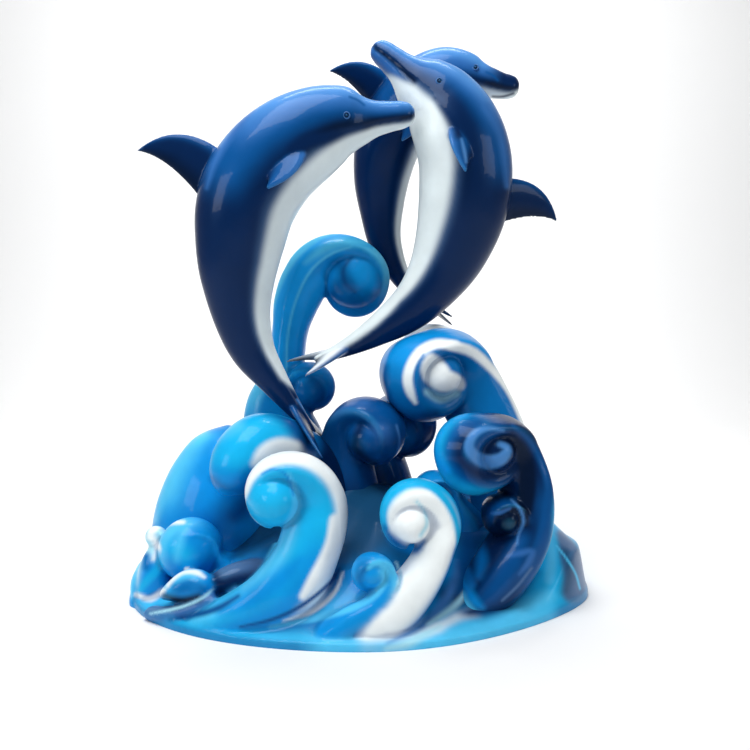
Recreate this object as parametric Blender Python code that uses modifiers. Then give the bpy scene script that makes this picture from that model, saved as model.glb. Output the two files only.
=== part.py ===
"""Fiberglass dolphin sculpture: three leaping dolphins bonded onto one mound of curling waves.

Metres, +Z up, +X to the right and -Y toward the front of the sculpture, origin at the middle of
its flat underside. Four castings: the wave base and the left, middle and rear dolphins.
"""

import math

import bmesh
import bpy
import numpy as np
from mathutils import Matrix, Vector

# Sizes of the whole sculpture and of the wave base.
SCULPTURE_HEIGHT = 1.95
BASE_LENGTH = 1.60
BASE_DEPTH = 1.24
BASE_LIP = 0.025
BELOW_GROUND = 0.05
RIM_PINCH = 0.33
RIM_BOW = 0.045
MOUND_RISE = 0.36
MOUND_FALL = 1.45
SWIRL_HEIGHT = 0.018
SWIRL_COUNT = 7
SWIRL_TURN = 2.2

# The steep shoulder at the right end of the base: its height, the turns between which it stands,
# how softly it fades at both, the shares of the way in from the rim where its two steps end, the
# first one's share of the height, and the share of the way out where it has fallen to nothing.
SHOULDER_RISE = 0.19
SHOULDER_FRONT = math.radians(-32)
SHOULDER_REAR = math.radians(70)
SHOULDER_FADE = math.radians(14)
SHOULDER_STEP = 0.05
SHOULDER_TOP = 0.22
SHOULDER_FIRST = 0.76
SHOULDER_INNER = 0.45

# Shape shared by the waves: how square a slab is, how deep the curl's inner edge lies as a share
# of its ball, how much thicker the curl is laid up, over how many knots a plump wave rounds off,
# the usual place of the ridge and fall of the dish and bevel, and how finely a horn is drawn.
RIM_POWER = 2.9
CURL_CORE = 0.45
CURL_LAP = 0.004
ROUND_OFF_RUN = 2.3
RIDGE_PLACE = 0.42
DISH_DEPTH = 0.22
BEVEL_DEPTH = 0.30
WAVE_SIDES = 36
WAVE_STEP = 0.025

# How finely the castings are skinned, and the seam left round each bonded dolphin.
WAVE_SKIN = 0.011
WAVE_FACES = 5600
DOLPHIN_SKIN = 0.0065
DOLPHIN_FACES = 1250
BOND_SEAM = 0.0007

# Sizes of the dolphins: girth against the common outline, where each back fin stands as a share
# of the length, and fin sizes on an animal of the common length.
COMMON_LENGTH = 1.62
BODY_POWER = 2.15
LEFT_GIRTH = 1.06
MIDDLE_GIRTH = 1.05
REAR_GIRTH = 0.92
LEFT_FIN_PLACE = 0.379
MIDDLE_FIN_PLACE = 0.394
REAR_FIN_PLACE = 0.312
FLIPPER_PLACE = 0.275
FLIPPER_TILT = math.radians(30)
LEFT_FLIPPER_DROP = 0.15
MIDDLE_FLIPPER_DROP = 0.35
REAR_FLIPPER_DROP = 0.25
DORSAL_FIN_CHORD = 0.170
DORSAL_FIN_HEIGHT = 0.250
DORSAL_FIN_SWEEP = 0.165
FIN_THICKNESS = 0.020
FIN_SINK = 0.03
FIN_LEAN = 0.012
FLIPPER_SINK = 0.035
FLIPPER_LEAN = 0.01
FLIPPER_LENGTH = 0.20
FLIPPER_CHORD = 0.120
FLUKE_SPAN = 0.195
FLUKE_CHORD = 0.155
FLUKE_SWEEP = 0.085

# Outline of a dolphin at shares of its length from beak to tail: half height, half width, and
# how far the back and the belly stand out against the half height.
OUTLINE = (
    (0.000, 0.009, 0.009, 1.00, 1.00),
    (0.007, 0.019, 0.018, 1.00, 1.00),
    (0.020, 0.025, 0.024, 1.00, 1.00),
    (0.050, 0.030, 0.029, 0.96, 1.00),
    (0.085, 0.038, 0.035, 0.90, 1.00),
    (0.108, 0.048, 0.043, 0.94, 1.03),
    (0.130, 0.058, 0.053, 1.04, 1.07),
    (0.160, 0.068, 0.062, 1.05, 1.09),
    (0.220, 0.086, 0.076, 1.01, 1.06),
    (0.330, 0.100, 0.090, 0.99, 1.00),
    (0.450, 0.097, 0.088, 0.99, 1.00),
    (0.550, 0.081, 0.073, 1.00, 1.02),
    (0.660, 0.058, 0.051, 1.00, 1.04),
    (0.740, 0.046, 0.037, 1.00, 1.00),
    (0.820, 0.031, 0.024, 1.00, 1.00),
    (0.880, 0.021, 0.016, 1.00, 1.00),
    (0.930, 0.013, 0.013, 1.00, 1.00),
    (0.965, 0.008, 0.010, 1.00, 1.00),
)

# Back line of each dolphin from beak to tail, and the way its left-right axis points.
LEFT_SPINE = (
    (0.182, -0.03, 1.664),
    (0.100, -0.03, 1.655),
    (0.015, -0.03, 1.646),
    (-0.072, -0.03, 1.638),
    (-0.190, -0.03, 1.590),
    (-0.317, -0.03, 1.487),
    (-0.386, -0.03, 1.375),
    (-0.416, -0.03, 1.235),
    (-0.425, -0.03, 1.100),
    (-0.412, -0.03, 0.970),
    (-0.374, -0.03, 0.855),
    (-0.302, -0.04, 0.748),
    (-0.246, -0.05, 0.672),
    (-0.165, -0.06, 0.568),
)
LEFT_SIDE = (0.0, 1.0, 0.0)
MIDDLE_SPINE = (
    (0.044, 0.14, 1.924),
    (0.119, 0.13, 1.864),
    (0.193, 0.12, 1.801),
    (0.281, 0.11, 1.722),
    (0.342, 0.10, 1.617),
    (0.369, 0.11, 1.517),
    (0.370, 0.12, 1.413),
    (0.343, 0.13, 1.266),
    (0.295, 0.13, 1.146),
    (0.216, 0.11, 1.036),
    (0.053, 0.07, 0.915),
    (-0.076, 0.03, 0.850),
    (-0.160, 0.01, 0.818),
)
MIDDLE_SIDE = (0.33, -0.94, 0.0)
REAR_SPINE = (
    (0.584, 0.30, 1.808),
    (0.527, 0.31, 1.813),
    (0.469, 0.31, 1.829),
    (0.401, 0.32, 1.851),
    (0.317, 0.33, 1.854),
    (0.232, 0.36, 1.810),
    (0.164, 0.40, 1.732),
    (0.102, 0.42, 1.611),
    (0.080, 0.43, 1.500),
    (0.077, 0.43, 1.378),
    (0.092, 0.42, 1.244),
    (0.130, 0.41, 1.148),
    (0.200, 0.39, 1.045),
    (0.297, 0.37, 0.975),
)
REAR_SIDE = (-0.12, 0.99, 0.0)

# The waves. Each one climbs through its root points (x, y, z, half thickness, half depth) and
# curls round its eye toward a compass heading, in degrees from +X. The reach is the distance
# from the eye to the outside of the curl at each quarter turn: behind, above, before, below. The
# ball is the radius of the ball at the eye and ball_depth its depth against the wave's. The tail is
# the share of the depth left where the curl ends, and the throat where its inner edge starts. Dish
# and bevel are how far the side falls inside and outside the ridge; a plump wave is rounded.
WAVES = {
    "front_left": dict(
        eye=(-0.294, -0.4, 0.427),
        heading=190,
        reach=(0.235, 0.142, 0.085, 0.083),
        ball=0.084,
        depth=0.095,
        ball_depth=1.3,
        tail=0.25,
        dish=0.34,
        bevel=0.35,
        ridge=0.3,
        root=(
            (-0.56, -0.37, -0.02, 0.05, 0.06),
            (-0.42, -0.44, 0.03, 0.075, 0.08),
            (-0.25, -0.45, 0.12, 0.105, 0.095),
            (-0.17, -0.42, 0.245, 0.1, 0.095),
        ),
    ),
    "front_white": dict(
        eye=(0.148, -0.43, 0.352),
        heading=193,
        reach=(0.165, 0.127, 0.085, 0.088),
        ball=0.066,
        depth=0.08,
        ball_depth=1.3,
        tail=0.25,
        dish=0.25,
        bevel=0.25,
        ridge=0.3,
        root=(
            (-0.06, -0.52, -0.02, 0.06, 0.07),
            (0.05, -0.51, 0.045, 0.07, 0.08),
            (0.16, -0.47, 0.145, 0.066, 0.08),
            (0.23, -0.44, 0.265, 0.058, 0.08),
        ),
    ),
    "front_small": dict(
        eye=(0.03, -0.5, 0.207),
        heading=205,
        reach=(0.072, 0.058, 0.06, 0.055),
        ball=0.046,
        depth=0.055,
        tail=0.35,
        root=(
            (-0.14, -0.54, -0.02, 0.055, 0.05),
            (-0.03, -0.54, 0.05, 0.058, 0.055),
            (0.055, -0.52, 0.115, 0.042, 0.055),
        ),
    ),
    "left_low": dict(
        eye=(-0.565, -0.21, 0.202),
        heading=200,
        reach=(0.09, 0.08, 0.07),
        ball=0.102,
        depth=0.092,
        ball_depth=1.1,
        tail=0.6,
        plump=1.0,
        root=(
            (-0.45, -0.2, -0.02, 0.09, 0.11),
            (-0.46, -0.18, 0.1, 0.08, 0.1),
        ),
    ),
    "left_knob_low": dict(
        eye=(-0.703, -0.16, 0.226),
        heading=185,
        reach=(0.04, 0.034, 0.03, 0.03),
        ball=0.03,
        depth=0.04,
        tail=0.6,
        plump=1.0,
        root=(
            (-0.705, -0.17, 0.0, 0.06, 0.07),
            (-0.7, -0.17, 0.13, 0.052, 0.055),
            (-0.682, -0.16, 0.2, 0.03, 0.045),
        ),
    ),
    "left_front": dict(
        heading=0,
        dish=0.0,
        bevel=0.0,
        plump=1.0,
        root=(
            (-0.645, -0.35, 0.085, 0.014, 0.02),
            (-0.605, -0.36, 0.105, 0.034, 0.05),
            (-0.555, -0.36, 0.12, 0.052, 0.06),
            (-0.51, -0.36, 0.118, 0.048, 0.06),
            (-0.475, -0.35, 0.105, 0.025, 0.03),
        ),
    ),
    "left_navy": dict(
        heading=208,
        dish=0.0,
        bevel=0.0,
        plump=1.0,
        root=(
            (-0.28, -0.26, 0.11, 0.06, 0.06),
            (-0.345, -0.3, 0.128, 0.062, 0.06),
            (-0.405, -0.33, 0.135, 0.052, 0.052),
            (-0.455, -0.355, 0.132, 0.036, 0.038),
            (-0.482, -0.37, 0.128, 0.022, 0.024),
        ),
    ),
    "left_ridge": dict(
        heading=0,
        dish=0.0,
        bevel=0.0,
        plump=1.0,
        root=(
            (-0.69, -0.33, 0.02, 0.02, 0.03),
            (-0.64, -0.375, 0.032, 0.022, 0.03),
            (-0.563, -0.405, 0.05, 0.024, 0.03),
            (-0.5, -0.41, 0.078, 0.022, 0.03),
            (-0.462, -0.405, 0.1, 0.014, 0.02),
        ),
    ),
    "left_lip": dict(
        heading=0,
        root=(
            (-0.752, -0.1, -0.03, 0.046, 0.14),
            (-0.757, -0.1, 0.035, 0.046, 0.12),
            (-0.748, -0.12, 0.085, 0.036, 0.09),
            (-0.728, -0.13, 0.115, 0.02, 0.05),
        ),
    ),
    "rear_left": dict(
        eye=(-0.36, 0.42, 0.4),
        heading=20,
        reach=(0.2, 0.14, 0.1, 0.095),
        ball=0.085,
        depth=0.095,
        root=(
            (-0.5, 0.34, 0.0, 0.1, 0.11),
            (-0.545, 0.38, 0.2, 0.085, 0.1),
        ),
    ),
    "rear_middle": dict(
        eye=(0.06, 0.47, 0.36),
        heading=10,
        reach=(0.18, 0.13, 0.085, 0.08),
        ball=0.075,
        depth=0.085,
        root=(
            (0.02, 0.48, -0.02, 0.09, 0.1),
            (-0.095, 0.48, 0.18, 0.075, 0.09),
        ),
    ),
    "tall_left": dict(
        eye=(-0.025, 0.31, 1.095),
        heading=0,
        reach=(0.272, 0.157, 0.13, 0.138, 0.11),
        ball=0.112,
        depth=0.085,
        ball_depth=1.15,
        tail=0.35,
        throat=0.1,
        dish=0.3,
        bevel=0.4,
        ridge=0.35,
        root=(
            (-0.22, 0.22, 0.1, 0.15, 0.16),
            (-0.3, 0.23, 0.42, 0.135, 0.13),
            (-0.325, 0.27, 0.62, 0.108, 0.11),
            (-0.285, 0.29, 0.76, 0.07, 0.095),
            (-0.266, 0.31, 0.92, 0.07, 0.088),
            (-0.248, 0.31, 1.0, 0.084, 0.086),
        ),
    ),
    "left_knob": dict(
        eye=(-0.186, 0.22, 0.695),
        heading=-10,
        reach=(0.108, 0.093, 0.088, 0.084),
        ball=0.078,
        depth=0.075,
        tail=0.5,
        plump=1.0,
        root=(
            (-0.22, 0.16, 0.2, 0.11, 0.12),
            (-0.224, 0.2, 0.48, 0.092, 0.09),
        ),
    ),
    "left_mid": dict(
        heading=224,
        dish=0.0,
        bevel=0.0,
        plump=1.0,
        root=(
            (-0.12, 0.0, 0.06, 0.13, 0.14),
            (-0.125, 0.0, 0.25, 0.12, 0.125),
            (-0.15, -0.005, 0.38, 0.108, 0.11),
            (-0.2, -0.04, 0.475, 0.098, 0.098),
            (-0.27, -0.105, 0.528, 0.103, 0.105),
            (-0.35, -0.165, 0.539, 0.111, 0.108),
            (-0.402, -0.205, 0.495, 0.1, 0.102),
            (-0.42, -0.23, 0.435, 0.078, 0.08),
            (-0.418, -0.235, 0.392, 0.04, 0.045),
        ),
    ),
    "left_dome": dict(
        heading=0,
        dish=0.0,
        bevel=0.0,
        plump=1.0,
        root=(
            (-0.52, 0.04, -0.02, 0.245, 0.2),
            (-0.518, 0.05, 0.12, 0.245, 0.2),
            (-0.505, 0.06, 0.28, 0.23, 0.19),
            (-0.482, 0.08, 0.41, 0.188, 0.16),
            (-0.455, 0.1, 0.5, 0.13, 0.115),
            (-0.435, 0.11, 0.555, 0.052, 0.05),
        ),
    ),
    "right_upper": dict(
        eye=(0.253, 0.03, 0.76),
        heading=212,
        reach=(0.235, 0.153, 0.184, 0.16, 0.12),
        ball=0.086,
        depth=0.15,
        tail=0.75,
        dish=0.22,
        bevel=0.3,
        ridge=0.4,
        plump=0.8,
        root=(
            (0.56, 0.02, 0.02, 0.13, 0.17),
            (0.525, 0.06, 0.25, 0.095, 0.15),
            (0.493, 0.06, 0.48, 0.104, 0.14),
        ),
    ),
    "right_navy": dict(
        eye=(0.41, -0.25, 0.548),
        heading=210,
        reach=(0.168, 0.115, 0.155, 0.14, 0.105),
        ball=0.078,
        depth=0.12,
        tail=0.75,
        dish=0.25,
        bevel=0.3,
        ridge=0.45,
        plump=0.8,
        root=(
            (0.33, -0.36, 0.01, 0.09, 0.1),
            (0.46, -0.29, 0.13, 0.085, 0.105),
            (0.535, -0.24, 0.27, 0.075, 0.11),
            (0.545, -0.22, 0.4, 0.074, 0.11),
        ),
    ),
    "right_inner": dict(
        eye=(0.462, -0.27, 0.325),
        heading=195,
        reach=(0.085, 0.07, 0.062, 0.06),
        ball=0.055,
        depth=0.085,
        tail=0.5,
        plump=0.5,
        root=(
            (0.4, -0.3, 0.05, 0.06, 0.08),
            (0.5, -0.27, 0.2, 0.045, 0.08),
        ),
    ),
    "centre_navy": dict(
        eye=(0.05, -0.03, 0.548),
        heading=-38,
        reach=(0.2, 0.132, 0.095, 0.095),
        ball=0.09,
        depth=0.11,
        tail=0.6,
        plump=0.8,
        root=(
            (0.02, 0.02, 0.1, 0.15, 0.16),
            (-0.05, 0.04, 0.33, 0.12, 0.12),
        ),
    ),
    "centre_back": dict(
        eye=(0.165, 0.22, 0.54),
        heading=-25,
        reach=(0.15, 0.135, 0.115, 0.105),
        ball=0.1,
        depth=0.12,
        tail=0.6,
        plump=1.0,
        root=(
            (0.12, 0.22, 0.1, 0.15, 0.15),
            (0.095, 0.24, 0.34, 0.09, 0.12),
        ),
    ),
    "middle_hump": dict(
        eye=(0.255, -0.06, 0.355),
        heading=190,
        reach=(0.09, 0.078, 0.07, 0.07),
        ball=0.068,
        depth=0.09,
        tail=0.6,
        plump=1.0,
        root=(
            (0.36, -0.04, 0.05, 0.12, 0.12),
            (0.345, -0.05, 0.25, 0.085, 0.11),
        ),
    ),
    "rear_right": dict(
        eye=(0.255, 0.4, 0.772),
        heading=195,
        reach=(0.185, 0.145, 0.11, 0.105),
        ball=0.095,
        depth=0.1,
        root=(
            (0.5, 0.34, 0.02, 0.14, 0.15),
            (0.48, 0.37, 0.32, 0.1, 0.12),
            (0.445, 0.39, 0.58, 0.08, 0.105),
        ),
    ),
}

UP = np.array([0.0, 0.0, 1.0])


def unit(rows):
    """Rows scaled to length one."""
    return rows / np.linalg.norm(rows, axis=-1, keepdims=True)


def cross(a, b):
    """Row by row cross product."""
    return np.cross(np.broadcast_to(a, b.shape), b)


def spline(places, rows, wanted):
    """A smooth curve through rows at places, read at the wanted places."""
    places = np.asarray(places, float)
    rows = np.asarray(rows, float)
    slopes = np.gradient(rows, places, axis=0)
    index = np.clip(np.searchsorted(places, wanted, "right") - 1, 0, len(places) - 2)
    gap = (places[index + 1] - places[index])[:, None]
    s = (wanted - places[index])[:, None] / gap
    start, end = rows[index], rows[index + 1]
    ramp = s * s * (3 - 2 * s)
    leave = s * (1 - s) ** 2 * gap * slopes[index]
    arrive = s * s * (s - 1) * gap * slopes[index + 1]
    return start + (end - start) * ramp + leave + arrive


def along(rows):
    """Distance walked along rows of points, starting at zero."""
    steps = np.linalg.norm(np.diff(rows, axis=0), axis=1)
    return np.concatenate([[0.0], np.cumsum(steps)])


def skin(rings):
    """Corners and faces of a closed tube through rings of points, each end fanned shut."""
    count, sides, _ = rings.shape
    ends = np.array([rings[0].mean(axis=0), rings[-1].mean(axis=0)])
    corners = np.concatenate([rings.reshape(-1, 3), ends])
    ring, side = np.meshgrid(np.arange(count - 1), np.arange(sides), indexing="ij")
    following = (side + 1) % sides
    walls = np.stack(
        [
            ring * sides + side,
            ring * sides + following,
            (ring + 1) * sides + following,
            (ring + 1) * sides + side,
        ],
        axis=-1,
    ).reshape(-1, 4)
    edge = np.arange(sides)
    after = (edge + 1) % sides
    last = (count - 1) * sides
    first_fan = np.stack([np.full(sides, count * sides), after, edge], axis=1)
    last_fan = np.stack([np.full(sides, count * sides + 1), last + edge, last + after], axis=1)
    return corners, walls.tolist() + first_fan.tolist() + last_fan.tolist()


def rounded(power, sides):
    """Unit outline between a circle and a square: cosine and sine with softened powers."""
    turn = np.linspace(0, 2 * math.pi, sides, endpoint=False)
    c, s = np.cos(turn), np.sin(turn)
    return np.sign(c) * np.abs(c) ** (2 / power), np.sign(s) * np.abs(s) ** (2 / power)


def smooth(low, high, x):
    """Zero below low, one above high, and 3s^2 - 2s^3 between, where s is the share of the way."""
    s = np.clip((x - low) / (high - low), 0.0, 1.0)
    return s * s * (3 - 2 * s)


def wave_parts(
    heading,
    root,
    eye=None,
    reach=(),
    ball=0.0,
    depth=0.0,
    ball_depth=1.0,
    tail=0.4,
    throat=None,
    **shape,
):
    """One wave: a tapering horn that climbs its root and curls round a ball at its eye."""
    bearing = math.radians(heading)
    ahead = np.array([math.cos(bearing), math.sin(bearing), 0.0])
    across = np.array([-math.sin(bearing), math.cos(bearing), 0.0])
    root = np.array(root, float)
    numbers = np.arange(-len(root), 0, dtype=float)
    if not reach:
        return [horn_part(root, numbers, across, round_from=-9.0, **shape)]

    eye = np.array(eye, float)
    quarters = np.arange(len(reach)) * 90.0
    turned = np.arange(0.0, quarters[-1] + 1, 15.0)
    outer = spline(quarters, np.array(reach)[:, None], turned)[:, 0]
    start = ball * CURL_CORE if throat is None else throat
    inner = start + (ball * CURL_CORE - start) * smooth(0.0, 110.0, turned)
    middle = (outer + inner) / 2
    half = (outer - inner) / 2 + CURL_LAP
    angle = np.radians(180.0 - turned)
    curl = eye + middle[:, None] * (
        np.cos(angle)[:, None] * ahead + np.sin(angle)[:, None] * UP
    )
    narrowing = 1 - (1 - tail) * smooth(45.0, 240.0, turned)
    knots = np.concatenate([root, np.column_stack([curl, half, depth * narrowing])])
    numbers = np.concatenate([numbers, turned / 90.0])
    horn = horn_part(knots, numbers, across, **shape)
    return [horn, ball_part(eye, across, ball, depth * ball_depth)]


def horn_part(
    knots,
    numbers,
    across,
    ridge=RIDGE_PLACE,
    dish=DISH_DEPTH,
    bevel=BEVEL_DEPTH,
    plump=0.0,
    round_from=-1.5,
):
    """A horn along knots of place, half thickness and half depth, square to a level axis.

    Across, it is a slab |c|^p + |s|^p = 1 with c outward and s sideways; s is lowered by the dish
    inside the ridge and by the bevel outside it, and drawn toward the oval sqrt(1 - c^2) where a
    plump wave is rounded. Numbers count the knots: below zero on the root, then quarter turns.
    """
    walked = along(knots[:, :3])
    stations = np.linspace(0, walked[-1], max(16, int(walked[-1] / WAVE_STEP)))
    rows = spline(walked, knots, stations)
    a = np.interp(stations, walked, numbers)[:, None]
    centre = rows[:, :3]
    forward = unit(np.gradient(centre, stations, axis=0))
    outward = unit(np.cross(forward, across))
    sideways = np.cross(outward, forward)
    c, s = rounded(RIM_POWER, WAVE_SIDES)
    oval = np.sign(s) * np.sqrt(np.clip(1 - c**2, 0, 1))
    rising = smooth(-3.2, -0.4, a)
    lowered = dish * rising * smooth(0.0, 1.0, (ridge - c) / (ridge + 1.0))
    chamfer = bevel * rising * smooth(0.0, 1.0, (c - ridge) / (1.0 - ridge))
    rounding = plump * smooth(round_from, round_from + ROUND_OFF_RUN, a)
    s = (s + (oval - s) * rounding) * (1 - lowered) * (1 - chamfer)
    rings = (
        centre[:, None, :]
        + (rows[:, 3, None] * c)[:, :, None] * outward[:, None, :]
        + (rows[:, 4, None] * s)[:, :, None] * sideways[:, None, :]
    )
    return skin(rings)


def ball_part(centre, axis, radius, half_depth):
    """A ball squashed or stretched along one axis."""
    first = Vector(axis).cross(Vector(UP)).normalized()
    second = Vector(axis).cross(first)
    place = Matrix.Identity(4)
    for column, arm in enumerate((first * radius, second * radius, Vector(axis) * half_depth)):
        for row in range(3):
            place[row][column] = arm[row]
    place.translation = Vector(centre)
    work = bmesh.new()
    bmesh.ops.create_uvsphere(work, u_segments=20, v_segments=12, radius=1.0, matrix=place)
    corners = np.array([vert.co[:] for vert in work.verts])
    faces = [[vert.index for vert in face.verts] for face in work.faces]
    work.free()
    return corners, faces


def shoulder(share, turn):
    """Height of the shoulder: two smooth steps up inward from the rim and one long fall."""
    turn = np.mod(turn + math.pi, 2 * math.pi) - math.pi
    window = smooth(SHOULDER_FRONT - SHOULDER_FADE, SHOULDER_FRONT + SHOULDER_FADE, turn)
    closing = smooth(SHOULDER_REAR - SHOULDER_FADE, SHOULDER_REAR + SHOULDER_FADE, turn)
    first = SHOULDER_FIRST * smooth(0.0, SHOULDER_STEP, 1 - share)
    second = (1 - SHOULDER_FIRST) * smooth(SHOULDER_STEP, SHOULDER_TOP, 1 - share)
    fall = smooth(SHOULDER_INNER, 1 - SHOULDER_TOP, share)
    return SHOULDER_RISE * window * (1 - closing) * (first + second) * fall


def mound_part():
    """The oval mound: a low lip at the rim, rising to the middle under shallow swirled ridges.

    Its plan is an oval, pinched toward the right end and bowed a little forward at both ends.
    """
    share = np.concatenate([[0.0], np.linspace(0.05, 1.0, 56) ** 0.9])[::-1]
    turn = np.linspace(0, 2 * math.pi, 120, endpoint=False)
    share, turn = np.meshgrid(share[:-1], turn, indexing="ij")
    rise = MOUND_RISE * (1 - share**1.6) ** MOUND_FALL + shoulder(share, turn)
    swirl = np.cos(SWIRL_COUNT * turn + SWIRL_TURN * share * math.pi)
    ridge = SWIRL_HEIGHT * swirl * np.sin(math.pi * share) ** 2
    pinch = 1 - RIM_PINCH * np.maximum(np.cos(turn), 0) ** 2
    top = np.stack(
        [
            BASE_LENGTH / 2 * share * np.cos(turn),
            share * (BASE_DEPTH / 2 * np.sin(turn) * pinch - RIM_BOW * np.cos(turn) ** 2),
            BASE_LIP + rise + ridge,
        ],
        axis=-1,
    )
    under = top[:1].copy()
    under[..., 2] = -BELOW_GROUND
    return skin(np.concatenate([under, top]))


def fin_part(front, back, tip, front_bulge, back_bulge, normal, thickness):
    """A fin between a leading and a trailing edge, two bowed lines that meet at the tip."""
    front, back, tip, normal = (np.asarray(p, float) for p in (front, back, tip, normal))
    q = np.linspace(0, 0.985, 12)[:, None]

    def bowed(start, bulge):
        return (1 - q) ** 2 * start + 2 * q * (1 - q) * np.asarray(bulge) + q * q * tip

    lead, trail = bowed(front, front_bulge), bowed(back, back_bulge)
    turn = np.linspace(0, 2 * math.pi, 16, endpoint=False)
    c = np.cos(turn)[None, :, None]
    s = np.sin(turn)[None, :, None]
    girth = thickness * (1 - 0.75 * q)[:, :, None] * (1 - 0.35 * c)
    rings = (lead + trail)[:, None, :] / 2 + c * (trail - lead)[:, None, :] / 2
    return skin(rings + s * girth * unit(normal))


def body_frames(spine, side, count):
    """Stations along a dolphin: share of length, centre, tailward, backward and side axes."""
    knots = np.array(spine, float)
    walked = along(knots)
    stations = np.linspace(0, walked[-1], count)
    centre = spline(walked, knots, stations)
    tailward = unit(np.gradient(centre, stations, axis=0))
    back = unit(cross(np.array(side, float), tailward))
    flank = np.cross(tailward, back)
    return stations / walked[-1], centre, tailward, back, flank


def dolphin_parts(spine, side, girth, fin_place, flipper_drop):
    """A dolphin: a lofted body, a back fin, two flippers and two fluke lobes."""
    share, centre, tailward, back, flank = body_frames(spine, side, 90)
    outline = np.array(OUTLINE)
    length = along(centre)[-1] / outline[-1, 0]
    read = spline(outline[:, 0], outline[:, 1:], share * outline[-1, 0])
    half = read[:, :2] * length * girth
    back_share, belly_share = read[:, 2, None], read[:, 3, None]
    c, s = rounded(BODY_POWER, 32)
    proud = 1 + np.where(s > 0, (back_share - 1) * s, (1 - belly_share) * s)
    rings = (
        centre[:, None, :]
        + (half[:, 0, None] * s * proud)[:, :, None] * back[:, None, :]
        + half[:, 1, None, None] * c[None, :, None] * flank[:, None, :]
    )
    parts = [skin(rings)]

    def at(place):
        i = int(np.argmin(np.abs(share - place)))
        return half[i], centre[i], tailward[i], back[i], flank[i]

    scale = length / COMMON_LENGTH
    chord, height = DORSAL_FIN_CHORD * scale, DORSAL_FIN_HEIGHT * scale
    girths, p, t, b, f = at(fin_place)
    root = p + b * (girths[0] - FIN_SINK)
    parts.append(
        fin_part(
            root,
            root + t * chord,
            root + t * DORSAL_FIN_SWEEP * scale + b * height,
            root - t * FIN_LEAN + b * height * 0.80,
            root + t * chord * 0.72 + b * height * 0.62,
            f,
            FIN_THICKNESS,
        )
    )
    reach, chord = FLIPPER_LENGTH * scale, FLIPPER_CHORD * scale
    span, stock = FLUKE_SPAN * scale, FLUKE_CHORD * scale
    for hand in (-1, 1):
        girths, p, t, b, f = at(FLIPPER_PLACE)
        out = hand * f * math.cos(FLIPPER_TILT) - b * math.sin(FLIPPER_TILT)
        root = p + hand * f * (girths[1] - FLIPPER_SINK) - b * girths[0] * flipper_drop
        parts.append(
            fin_part(
                root,
                root + t * chord,
                root + out * reach * 0.58 + t * reach * 0.92,
                root + out * reach * 0.66 + t * reach * 0.22,
                root + t * chord * 1.02 + out * reach * 0.14,
                unit(np.cross(out, t)),
                FIN_THICKNESS,
            )
        )
        p, t, b, f = centre[-1], tailward[-1], back[-1], hand * flank[-1]
        parts.append(
            fin_part(
                p - t * stock - f * FLIPPER_LEAN,
                p - f * FLIPPER_LEAN,
                p + t * FLUKE_SWEEP * scale + f * span,
                p - t * stock * 0.35 + f * span * 0.62,
                p + t * FLIPPER_LEAN + f * span * 0.40,
                b,
                FIN_THICKNESS * 0.75,
            )
        )
    return parts


def collect(name):
    """A collection of the given name in the scene."""
    group = bpy.data.collections.new(name)
    bpy.context.scene.collection.children.link(group)
    return group


def solid(name, parts, group):
    """One mesh object made of all the given closed parts."""
    corners, faces, offset = [], [], 0
    for points, polygons in parts:
        corners.append(points)
        faces.extend([[index + offset for index in polygon] for polygon in polygons])
        offset += len(points)
    mesh = bpy.data.meshes.new(name)
    mesh.from_pydata(np.concatenate(corners).tolist(), [], faces)
    item = bpy.data.objects.new(name, mesh)
    group.objects.link(item)
    return item


def apply_all(item):
    """Replace an object's mesh by the result of its modifiers."""
    bpy.context.view_layer.update()
    shape = bpy.data.meshes.new_from_object(
        item.evaluated_get(bpy.context.evaluated_depsgraph_get())
    )
    item.modifiers.clear()
    item.data = shape


def fuse(item, grain, rounds, faces):
    """Skin overlapping parts as one casting, soften its joins and lighten its mesh."""
    remesh = item.modifiers.new("skin", "REMESH")
    remesh.mode = "VOXEL"
    remesh.voxel_size = grain
    soften = item.modifiers.new("soften", "SMOOTH")
    soften.factor = 0.5
    soften.iterations = rounds
    apply_all(item)
    lighten = item.modifiers.new("lighten", "DECIMATE")
    lighten.ratio = min(1.0, faces / (2.0 * len(item.data.polygons)))
    item.modifiers.new("triangles", "TRIANGULATE")
    apply_all(item)


def cut_flat(item):
    """Cut the base off level at the ground and close it."""
    work = bmesh.new()
    work.from_mesh(item.data)
    bmesh.ops.triangulate(work, faces=work.faces)
    found = bmesh.ops.bisect_plane(
        work,
        geom=work.verts[:] + work.edges[:] + work.faces[:],
        plane_co=(0, 0, 0),
        plane_no=(0, 0, 1),
        clear_inner=True,
    )
    edges = [e for e in found["geom_cut"] if isinstance(e, bmesh.types.BMEdge)]
    bmesh.ops.triangle_fill(work, edges=edges, use_beauty=True)
    bmesh.ops.recalc_face_normals(work, faces=work.faces)
    work.to_mesh(item.data)
    work.free()


def true_up(item, length, depth):
    """Stretch the base a hair so that it measures its full length and depth about the origin."""
    mesh = item.data
    places = np.empty(len(mesh.vertices) * 3)
    mesh.vertices.foreach_get("co", places)
    rows = places.reshape(-1, 3)
    low, high = rows[:, :2].min(axis=0), rows[:, :2].max(axis=0)
    wanted = np.array([length, depth])
    rows[:, :2] = (rows[:, :2] - (low + high) / 2) * wanted / (high - low)
    mesh.vertices.foreach_set("co", rows.ravel())
    mesh.update()


def true_height(items, height):
    """Stretch all castings upward by one share, so that the highest of them ends at the height."""
    tops = [max(vert.co.z for vert in item.data.vertices) for item in items]
    for item in items:
        item.data.transform(Matrix.Diagonal((1.0, 1.0, height / max(tops), 1.0)))


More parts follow.
